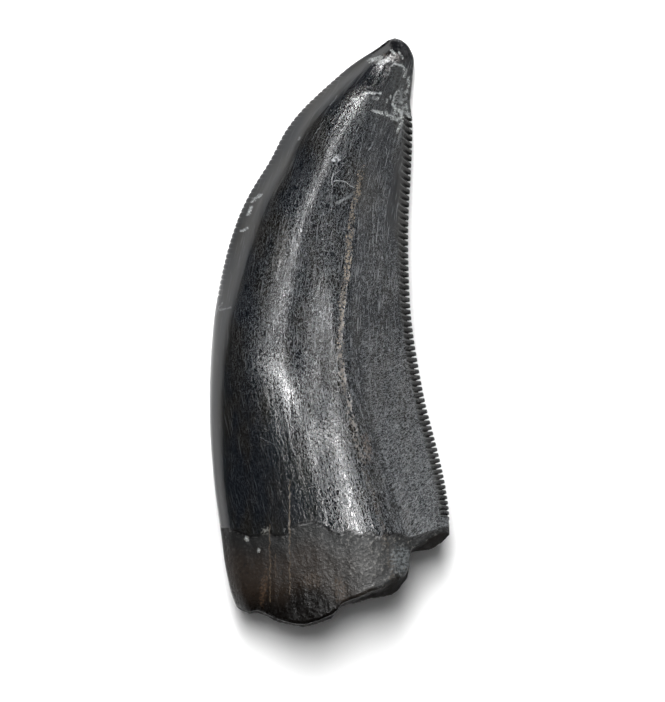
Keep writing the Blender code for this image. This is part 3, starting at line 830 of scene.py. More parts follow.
def crust_tree() -> Tree:
    """Geometry Nodes that sow small flat lumps where a point value of the crown is high."""
    graph, given, out = new_tree("mineral_lumps", "GeometryNodeTree", {
        "Geometry": Kind.GEOMETRY, "Mask": Kind.TEXT, "Density": 60.0, "Smallest": 0.03,
        "Largest": 0.09, "Flatness": 0.5, "Seed": 0, "Material": Kind.MATERIAL,
    }, {"Geometry": Kind.GEOMETRY})
    mask = graph.make("GeometryNodeInputNamedAttribute", {"Name": given["Mask"]},
                      data_type="FLOAT").outputs["Attribute"]
    place = graph.scaled(graph.node("GeometryNodeInputPosition").outputs[0], 1 / MM)
    ragged = graph.step(graph.noise(place, 1.9, 2.0, 0.6), 0.34, 0.56, 0.15, 1.0)
    density = graph.times(mask, ragged, given["Density"])
    sown = graph.make("GeometryNodeDistributePointsOnFaces", {
        "Mesh": given["Geometry"], "Seed": given["Seed"],
        "Density": graph.math("DIVIDE", density, MM * MM),
    }, distribute_method="RANDOM")
    lump = graph.make("GeometryNodeMeshIcoSphere", {"Radius": MM, "Subdivisions": 1})
    sides = []
    for offset in range(3):
        pick = graph.node("FunctionNodeRandomValue", data_type="FLOAT")
        seed = graph.math("ADD", given["Seed"], float(offset))
        graph.feed(pick.inputs["Seed"], seed)
        graph.feed(pick.inputs[2], given["Smallest"])
        graph.feed(pick.inputs[3], given["Largest"])
        sides.append(pick.outputs[1])
    height = graph.times(sides[2], given["Flatness"])
    lumps = graph.make("GeometryNodeInstanceOnPoints", {
        "Points": sown.outputs["Points"], "Instance": lump.outputs["Mesh"],
        "Rotation": sown.outputs["Rotation"], "Scale": graph.combine(sides[0], sides[1], height),
    })
    graph.feed(out[0], dressed(graph, lumps.outputs[0], given["Material"]))
    return graph.tree


@dataclass
class Crust:
    """Where a thin mineral crust lies on the upper face, seen from above.

    Attributes:
        strokes: Lines of crust: one end, the other end, and the width.
        core: Share of the width, to each side, over which the crust is whole.
        soften: How far the crust thins out beyond its width.
    """

    strokes: tuple = (
        ((3.55, 22.75), (4.25, 22.95), 0.32), ((4.10, 22.50), (4.95, 22.75), 0.30),
        ((5.13, 23.58), (5.50, 23.25), 0.14), ((5.79, 23.38), (6.13, 22.92), 0.14),
        ((5.29, 22.38), (6.04, 22.38), 0.12), ((5.58, 22.42), (6.10, 22.20), 0.12),
        ((6.10, 22.20), (6.46, 21.83), 0.12), ((6.29, 21.58), (6.71, 20.67), 0.09),
        ((3.63, 19.62), (4.00, 19.45), 0.14), ((5.06, 19.60), (5.12, 19.56), 0.16),
        ((4.80, 19.32), (4.85, 19.28), 0.16), ((5.43, 19.67), (5.24, 18.92), 0.16),
        ((5.24, 18.92), (5.79, 18.47), 0.17), ((5.79, 18.47), (6.10, 18.02), 0.20),
        ((6.10, 18.02), (5.65, 17.73), 0.20), ((5.65, 17.73), (5.04, 18.02), 0.22),
        ((5.04, 18.02), (4.68, 18.25), 0.18), ((3.46, 18.42), (4.10, 18.30), 0.12),
        ((4.10, 18.30), (4.79, 18.28), 0.13), ((5.63, 20.08), (5.88, 20.08), 0.12),
        ((6.29, 20.33), (6.46, 19.96), 0.13), ((5.96, 19.33), (6.46, 18.83), 0.16),
        ((5.60, 20.05), (5.43, 19.67), 0.10), ((6.18, 18.50), (6.71, 18.00), 0.18),
        ((6.10, 17.67), (5.63, 16.67), 0.17), ((5.30, 18.30), (6.00, 18.35), 0.16),
        ((4.29, 19.90), (2.96, 19.93), 0.08), ((1.90, 19.42), (2.40, 19.45), 0.10),
        ((-6.50, 10.85), (-5.70, 11.43), 0.13), ((-6.83, 9.78), (-6.50, 10.45), 0.10),
        ((-7.40, 8.40), (-6.85, 8.62), 0.10), ((-5.90, -18.1), (-5.84, -18.1), 0.12),
        ((-6.95, -17.1), (-6.75, -17.3), 0.12),
    )
    core: float = 0.4
    soften: float = 0.03

    def share(self, points: np.ndarray) -> np.ndarray:
        """Return how much crust lies at each of some points, from 0 to 1."""
        places = points[:, :2]
        best = np.zeros(len(places))
        for first, last, width in self.strokes:
            start, reach = np.array(first), np.array(last) - np.array(first)
            along = np.clip((places - start) @ reach / (reach @ reach), 0.0, 1.0)
            gap = np.linalg.norm(places - start - along[:, None] * reach, axis=1)
            thinned = ease(self.core * width, 0.5 * width + self.soften, gap)
            best = np.maximum(best, 1 - thinned)
        return best


@dataclass
class Crown:
    """The whole tooth: crown, cutting edges and stub of broken root, in one mesh.

    Attributes:
        form: Its shape.
        enamel: Where the enamel ends.
        crust: Where the pale crust lies.
        saws: Its two cutting edges.
        upper_rows: Mesh rows of the upper face.
        lower_rows: Mesh rows of the lower face.
        columns: Mesh columns of each face between the edge strips.
        crowding: How much closer together the columns are beside the edges.
        break_rows: Mesh rows of the broken end.
        strip: Distances of the edge strips' columns from the edge.
        body_margin: Distance of the first face column from the edge.
        narrow: Width below which strips and margins draw together.
        tip_start: Station from which the rows draw together towards the tip.
        tip_rows: Mesh rows from there on.
        tip_crowding: How fast they draw together.
        last_station: Station of the last row before the point of the tip.
        edge_calm: Distance from the edge over which the relief sets in.
        flow_width: Width of the tooth that the grain's pattern is drawn for.
        flow_length: Length of the tooth that it is drawn for.
        crease_depth: Depth of the crease's groove.
        crease_width: About half the groove's width.
        crease_onset: Stations between which the groove sets in at the root's end.
        crease_ending: Stations between which it sets in from the tip's end.
        sediment_onset: Stations between which the sediment in the crease sets in.
        sediment_ending: Stations between which it ends.
        sediment_front: Distances from the crease between which it sets in.
        sediment_rear: Distances between which it ends.
        pulp_depth: Depth of the pulp hollow in the broken end.
        pulp_centre: Fraction at which it lies.
        pulp_half_width: Half its width, as a fraction.
        pulp_lip: Share of the end's height above it.
        bulge: How soon the break reaches its outline below the rims.
        break_onset: How soon its roughness sets in there.
        break_values: The point values that are the same all over the break.
        slant: How far the slits lean towards the tip, in saw teeth for each millimetre.
    """

    form: ToothForm = field(default_factory=ToothForm)
    enamel: EnamelEdge = field(default_factory=EnamelEdge)
    crust: Crust = field(default_factory=Crust)
    saws: tuple = (
        SawEdge(at_front=True, first=0.500, last=0.925, count=48, pitch_root=0.95,
                pitch_tip=1.05, strength=0.30),
        SawEdge(at_front=False, first=0.030, last=0.885, count=68, pitch_root=0.84,
                pitch_tip=1.10),
    )
    upper_rows: int = 285
    lower_rows: int = 170
    columns: int = 148
    crowding: float = 0.25
    break_rows: int = 56
    strip: tuple = (0.0, 0.10, 0.22, 0.36, 0.52, 0.70, 0.90)
    body_margin: float = 1.04
    narrow: float = 5.0
    tip_start: float = 0.96
    tip_rows: int = 30
    tip_crowding: float = 1.7
    last_station: float = 0.9988
    edge_calm: float = 0.4
    flow_width: float = 16.0
    flow_length: float = 48.0
    crease_depth: float = 0.03
    crease_width: float = 0.22
    crease_onset: tuple = (0.09, 0.20)
    crease_ending: tuple = (0.80, 0.60)
    sediment_onset: tuple = (0.34, 0.48)
    sediment_ending: tuple = (0.74, 0.80)
    sediment_front: tuple = (-0.50, -0.22)
    sediment_rear: tuple = (0.02, 0.16)
    pulp_depth: float = 1.6
    pulp_centre: float = 0.42
    pulp_half_width: float = 0.24
    pulp_lip: float = 0.22
    bulge: float = 2.6
    break_onset: float = 4.0
    break_values: dict = field(default_factory=lambda: {
        "crease_gap": 9.0, "flank_gap": 9.0, "enamel_gap": -6.0, "edge_gap": 3.0,
        "station": 0.0, "saw_run": 0.0, "saw_share": 0.0, "crust": 0.0, "sediment": 0.0,
    })
    slant: float = 0.65

    def stations(self, rows: int) -> np.ndarray:
        """Return the stations of a face's mesh rows, closer together at the tip."""
        even = np.linspace(0.0, self.tip_start, rows - self.tip_rows)
        left = np.linspace(1.0, 0.0, self.tip_rows + 1)[1:] ** self.tip_crowding
        span = self.last_station - self.tip_start
        return np.concatenate([even, self.last_station - span * left])

    def draw_in(self, station: float) -> float:
        """Return how much strips and margins draw together on a narrow section."""
        return min(1.0, self.form.width(station) / self.narrow)

    def fractions(self, station: float) -> np.ndarray:
        """Return the places of a face's columns across a section."""
        even = np.linspace(0.0, 1.0, self.columns)
        crowded = 0.5 - 0.5 * np.cos(np.pi * even)
        spread = (1 - self.crowding) * even + self.crowding * crowded
        margin = self.body_margin * self.draw_in(station) / self.form.width(station)
        return margin + (1 - 2 * margin) * spread

    def crease_groove(self, station: float, gaps: np.ndarray) -> np.ndarray:
        """Return the depth of the crease's shallow groove on the upper face.

        Args:
            station: Where the section is.
            gaps: Distances of its points from the crease.

        Returns:
            A depth for each point.
        """
        where = np.array([station])
        fade = ease(*self.crease_onset, where)[0] * ease(*self.crease_ending, where)[0]
        return self.crease_depth * fade * np.exp(-((gaps / self.crease_width) ** 2))

    def sediment(self, station: float, gaps: np.ndarray, face: Face) -> np.ndarray:
        """Return how much rusty sediment lies beside the crease at one station.

        Args:
            station: Where the section is.
            gaps: Distances of its points from the crease.
            face: Which face.

        Returns:
            A share from 0 to 1 for each point.
        """
        where = np.array([station])
        reach = ease(*self.sediment_onset, where)[0] * (1 - ease(*self.sediment_ending, where)[0])
        band = ease(*self.sediment_front, gaps) * (1 - ease(*self.sediment_rear, gaps))
        return band * reach * float(face.value)

    def section(
        self, station: float, fractions: np.ndarray, face: Face, saw_run: float = 0.0,
        saw_share: float = 0.0, edge_gap: np.ndarray | None = None, inward: np.ndarray | None = None,
    ) -> tuple[np.ndarray, dict[str, np.ndarray]]:
        """Return the points of one section's face and their values.

        Args:
            station: Where the section is.
            fractions: Places across it.
            face: Which face.
            saw_run: Running count of saw teeth, on an edge strip.
            saw_share: How deep the slits are there, from 0 to 1.
            edge_gap: Distances from the nearest edge, if known.
            inward: Unit vector away from that edge.

        Returns:
            Rows of x, y and z, and one array for each point value.
        """
        width = self.form.width(station)
        points = self.form.skin(station, fractions, face)
        gap = self.enamel.gap(points, face)
        inner = np.minimum(fractions, 1 - fractions) * width
        if edge_gap is None:
            edge_gap = inner
        on_face = ease(0.0, self.edge_calm, inner)
        crease = self.form.feature_place("crease", station)
        flank = self.form.feature_place("front flank", station)
        crease_gap = (fractions - crease) * width
        if face is Face.UPPER:
            points[:, 2] -= on_face * self.crease_groove(station, crease_gap)
        drop = self.enamel.thickness * (1 - ease(-self.enamel.slope, 0.02, gap)) * on_face
        points[:, 2] += -drop if face is Face.UPPER else drop * ease(0.0, 1.0, points[:, 2])
        count = len(fractions)
        across = (fractions - crease) * math.sqrt(width * self.flow_width)
        along = np.full(count, station * self.flow_length)
        values = {
            "flow": np.column_stack([across, along, points[:, 2]]),
            "crease_gap": crease_gap,
            "flank_gap": (fractions - flank) * width,
            "enamel_gap": gap,
            "edge_gap": edge_gap,
            "station": np.full(count, station),
            "upper": np.full(count, float(face.value)),
            "broken": np.zeros(count),
            "saw_run": np.full(count, saw_run),
            "saw_share": np.full(count, saw_share),
            "inward": np.zeros((count, 3)) if inward is None else np.tile(inward, (count, 1)),
            "crust": self.crust.share(points) if face is Face.UPPER else np.zeros(count),
            "sediment": self.sediment(station, crease_gap, face),
        }
        return points, values

    def add_face(self, shell: Shell, face: Face) -> tuple[np.ndarray, np.ndarray]:
        """Add the broad part of one face.

        Args:
            shell: Where it is added.
            face: Which face.

        Returns:
            The stations of its rows and its grid of point numbers.
        """
        stations = self.stations(self.upper_rows if face is Face.UPPER else self.lower_rows)
        grid = []
        for station in stations:
            grid.append(shell.add(*self.section(station, self.fractions(station), face)))
        grid = np.array(grid)
        shell.quads(grid, flip=face is Face.LOWER)
        return stations, grid

    def add_saw(self, shell: Shell, saw: SawEdge) -> tuple[np.ndarray, dict[Face, np.ndarray]]:
        """Add the strips on both sides of one cutting edge.

        Args:
            shell: Where they are added.
            saw: The edge.

        Returns:
            The stations of the rows, and for each face a grid of point numbers whose
            first column is the edge itself.
        """
        stations, counts = saw.rows(self.form, self.stations(self.lower_rows))
        grids: dict[Face, list[np.ndarray]] = {Face.UPPER: [], Face.LOWER: []}
        for station, count in zip(stations, counts):
            width = self.form.width(station)
            gaps = np.array(self.strip) * self.draw_in(station)
            fractions = gaps / width if saw.at_front else 1 - gaps / width
            chord = (self.form.rear(station) - self.form.front(station))[0] / width
            inward = np.array([chord[0], chord[1], 0.0]) * (1 if saw.at_front else -1)
            share = saw.share(station, count)
            edge = None
            for face in (Face.UPPER, Face.LOWER):
                part = slice(0, None) if edge is None else slice(1, None)
                points, values = self.section(
                    station, fractions[part], face, count, share, gaps[part], inward
                )
                numbers = shell.add(points, values)
                edge = numbers[0] if edge is None else edge
                row = numbers if face is Face.UPPER else np.concatenate([[edge], numbers])
                grids[face].append(row)
        result = {face: np.array(rows) for face, rows in grids.items()}
        for face, grid in result.items():
            shell.quads(grid, flip=(face is Face.LOWER) == saw.at_front)
        return stations, result

    def add_break(self, shell: Shell, upper: np.ndarray, lower: np.ndarray) -> None:
        """Close the broken end with rough rows between its upper and lower rims.

        Args:
            shell: Where it is added.
            upper: Point numbers along the upper rim, from front to rear.
            lower: Point numbers along the lower rim.
        """
        known = np.concatenate(shell.points)
        flows = np.concatenate([block["flow"] for block in shell.values])
        top, bottom = known[upper[1:-1]], known[lower[1:-1]]
        base = self.form.front(0.0)[0]
        chord = self.form.rear(0.0)[0] - base
        across = ((top[:, :2] - base) @ chord) / (chord @ chord)
        middle = np.exp(-(((across - self.pulp_centre) / self.pulp_half_width) ** 2))
        outline = np.interp(top[:, 0], *np.array(self.form.root_outline)[:, 1:].T)
        rows = [upper]
        for r in range(1, self.break_rows):
            share = r / self.break_rows
            points = top + (bottom - top) * share
            depth = math.sin(math.pi * share)
            open_share = min(1.0, 2.0 * max(0.0, share - self.pulp_lip))
            hollow = self.pulp_depth * middle * depth**2 * open_share
            points[:, 1] += (outline - points[:, 1]) * min(1.0, self.bulge * depth) + hollow
            flow = flows[upper[1:-1]].copy()
            flow[:, 1:] = points[:, 1:]
            count = len(points)
            values = {name: np.full(count, value) for name, value in self.break_values.items()}
            values["flow"] = flow
            values["upper"] = np.full(count, 1 - share)
            values["broken"] = np.full(count, min(1.0, self.break_onset * depth))
            values["inward"] = np.zeros((count, 3))
            middle_row = shell.add(points, values)
            rows.append(np.concatenate([upper[:1], middle_row, upper[-1:]]))
        rows.append(lower)
        shell.quads(np.array(rows), flip=True)

    def shell(self) -> Shell:
        """Return the whole tooth as points and faces, before its slits are cut."""
        shell = Shell()
        strips = [self.add_saw(shell, saw) for saw in self.saws]
        (front_at, front), (rear_at, rear) = strips
        rims = {}
        tip_xy = self.form.front(1.0)[0]
        tip_height = self.form.heights(1.0, np.array([0.5]), Face.UPPER)[0]
        tip_points, tip_values = self.section(self.last_station, np.array([0.5]), Face.UPPER)
        tip_points[0] = (tip_xy[0], tip_xy[1], tip_height)
        tip = int(shell.add(tip_points, tip_values)[0])
        for face in (Face.UPPER, Face.LOWER):
            stations, grid = self.add_face(shell, face)
            flip = face is Face.LOWER
            shell.seam(front[face][:, -1], front_at, grid[:, 0], stations, flip)
            shell.seam(grid[:, -1], stations, rear[face][:, -1], rear_at, flip)
            first = np.concatenate([front[face][0], grid[0], rear[face][0][::-1]])
            last = np.concatenate([front[face][-1], grid[-1], rear[face][-1][::-1]])
            rims[face] = first
            for a, b in zip(last.tolist(), last[1:].tolist()):
                shell.faces.append((tip, b, a) if flip else (a, b, tip))
        self.add_break(shell, rims[Face.UPPER], rims[Face.LOWER])
        return shell

    def build(
        self, material: bpy.types.Material, root_material: bpy.types.Material
    ) -> bpy.types.Object:
        """Build the tooth, cut its slits and raise its relief.

        Args:
            material: The finish of the enamel.
            root_material: The finish of the bare root and the broken end.

        Returns:
            The finished piece, at the origin.
        """
        piece = bpy.data.objects.new("tooth_crown_and_root", self.shell().mesh("tooth"))
        bpy.context.scene.collection.objects.link(piece)
        apply_tree(piece, relief_tree(), {
            "Streak Height": 0.030, "Streak Spacing": 0.55, "Streak Length": 7.0,
            "Root Height": 0.085, "Root Lump": 0.9, "Break Height": 0.34, "Break Lump": 1.5,
            "Seed": 3.0, "Material": material,
        })
        apply_tree(piece, saw_tree(), {
            "Notch Depth": 0.13, "Tooth Roundness": 0.13, "Slit Depth": 0.26,
            "Slit Length": 0.90, "Slit Share": 0.36, "Slant": self.slant, "Unevenness": 0.22,
            "Seed": SAW_SEED, "Material": material, "Root Material": root_material,
        })
        return piece


def plain_material(name: str, colour: Colour, roughness: float) -> bpy.types.Material:
    """Return a material with one colour, for the table."""
    material = bpy.data.materials.new(name)
    material.use_nodes = True
    shader = material.node_tree.nodes["Principled BSDF"]
    shader.inputs["Base Color"].default_value = (*colour, 1.0)
    shader.inputs["Roughness"].default_value = roughness
    return material


def lump_material(name: str, dark: Colour, light: Colour) -> bpy.types.Material:
    """Return the material of small mineral lumps, mottled between two colours."""
    material = bpy.data.materials.new(name)
    material.use_nodes = True
    graph = Graph(material.node_tree)
    shader = material.node_tree.nodes["Principled BSDF"]
    mottle = graph.noise(graph.place(), LUMP_MOTTLE_SCALE, 3.0, 0.6)
    graph.feed(shader.inputs["Base Color"], graph.blend(graph.step(mottle, 0.38, 0.62), dark, light))
    shader.inputs["Roughness"].default_value = LUMP_ROUGHNESS
    return material


@dataclass(frozen=True)
class Lumps:
    """One scattering of small mineral lumps on the crown.

    Attributes:
        name: Name of the piece.
        mask: The point value that says where they lie.
        density: How many lie on a square millimetre where that is 1.
        smallest: Half the width of the smallest.
        largest: Half the width of the largest.
        seed: What their random draws start from.
        material: Name of their material.
        dark: Its darker colour.
        light: Its lighter colour.
        flatness: Their height, against their width.
    """

    name: str
    mask: str
    density: float
    smallest: float
    largest: float
    seed: int
    material: str
    dark: Colour
    light: Colour
    flatness: float = 0.5

    def build(self, crown: bpy.types.Object) -> bpy.types.Object:
        """Sow the lumps on the finished tooth and return them as one piece, at the origin."""
        piece = bpy.data.objects.new(self.name, crown.data.copy())
        bpy.context.scene.collection.objects.link(piece)
        apply_tree(piece, crust_tree(), {
            "Mask": self.mask, "Density": self.density, "Smallest": self.smallest,
            "Largest": self.largest, "Flatness": self.flatness, "Seed": self.seed,
            "Material": lump_material(self.material, self.dark, self.light),
        })
        return piece


LUMPS = (
    Lumps("pale_mineral_crust", "crust", 110.0, 0.020, 0.055, 4,
          "pale_crust", (0.07, 0.07, 0.066), (0.42, 0.44, 0.43)),
    Lumps("rusty_crease_sediment", "sediment", 44.0, 0.025, 0.070, 9,
          "rusty_sediment", (0.016, 0.011, 0.008), (0.190, 0.152, 0.110)),
)


def grain_group() -> Tree:
    """Shader group: fine wrinkled grain that follows the tooth's length."""
    graph, given, out = new_tree("wrinkled_grain", "ShaderNodeTree", {
        "Flow": Kind.VECTOR, "Cell Width": 0.2, "Cell Length": 0.4, "Warp": 0.5,
    }, {"Height": Kind.NUMBER, "Wrinkle": Kind.NUMBER})
    scale = graph.combine(
        graph.math("DIVIDE", 1.0, given["Cell Width"]),
        graph.math("DIVIDE", 1.0, given["Cell Length"]), 0.0,
    )
    place = graph.vector("MULTIPLY", given["Flow"], scale)
    value = graph.noise(place, 1.0, 2.5, 0.62, given["Warp"])
    ridge = graph.math("ABSOLUTE", graph.math("MULTIPLY_ADD", value, 4.0, -2.0))
    graph.feed(out["Height"], value)
    graph.feed(out["Wrinkle"], graph.math("MINIMUM", ridge, 1.0))
    return graph.tree


def line_group() -> Tree:
    """Shader group: a thin wavering mark between two places, seen from above."""
    graph, given, out = new_tree("line_mark", "ShaderNodeTree", {
        "Place": Kind.VECTOR, "Start": Kind.VECTOR, "End": Kind.VECTOR, "Width": 0.1,
    }, {"Mask": Kind.NUMBER})
    offset = graph.vector("SUBTRACT", given["Place"], given["Start"])
    reach = graph.vector("SUBTRACT", given["End"], given["Start"])
    share = graph.math("DIVIDE", graph.dot(offset, reach), graph.dot(reach, reach), clamp=True)
    gap = graph.length(graph.vector("SUBTRACT", offset, graph.scaled(reach, share)))
    half = graph.times(given["Width"], 0.5)
    mask = graph.step(gap, graph.times(half, 0.3), graph.times(half, 1.5), 1.0, 0.0)
    graph.feed(out["Mask"], mask)
    return graph.tree


def patch_group() -> Tree:
    """Shader group: a ragged oval patch, seen from above."""
    graph, given, out = new_tree("ragged_patch", "ShaderNodeTree", {
        "Place": Kind.VECTOR, "Centre": Kind.VECTOR, "Half Size": Kind.VECTOR, "Turn": 0.0,
        "Raggedness": 0.5, "Grain": 0.5,
    }, {"Mask": Kind.NUMBER})
    offset = graph.vector("SUBTRACT", given["Place"], given["Centre"])
    turned = graph.turned(offset, graph.times(given["Turn"], -1.0))
    scaled = graph.length(graph.vector("DIVIDE", turned, given["Half Size"]))
    scale = graph.math("DIVIDE", 1.0, given["Grain"])
    ragged = graph.noise(given["Place"], scale, 3.0, 0.65)
    ragged = graph.times(graph.math("SUBTRACT", ragged, 0.5), given["Raggedness"])
    edge = graph.math("MULTIPLY_ADD", ragged, 2.5, scaled)
    graph.feed(out["Mask"], graph.step(edge, 0.55, 1.15, 1.0, 0.0))
    return graph.tree


class Tint(Enum):
    """What a mark on the tooth looks like."""

    PALE = 0
    TAN = 1
    DARK = 2


@dataclass(frozen=True)
class Scratch:
    """A thin straight mark, seen from above.

    Attributes:
        start: x and y of one end.
        end: x and y of the other end.
        width: Its width.
        tint: What it looks like.
        strength: How much it covers, up to 1.
    """

    start: tuple
    end: tuple
    width: float
    tint: Tint
    strength: float


@dataclass(frozen=True)
class Patch:
    """A ragged oval patch, seen from above.

    Attributes:
        centre: x and y of its middle.
        half_size: Half its width and half its length.
        turn: How far it is turned, in degrees, anticlockwise.
        colour: Its colour.
        roughness: Its roughness.
        strength: How much it covers, up to 1.
        grain: Size of its ragged edge's lumps.
    """

    centre: tuple
    half_size: tuple
    turn: float
    colour: Colour
    roughness: float
    strength: float
    grain: float = 0.35


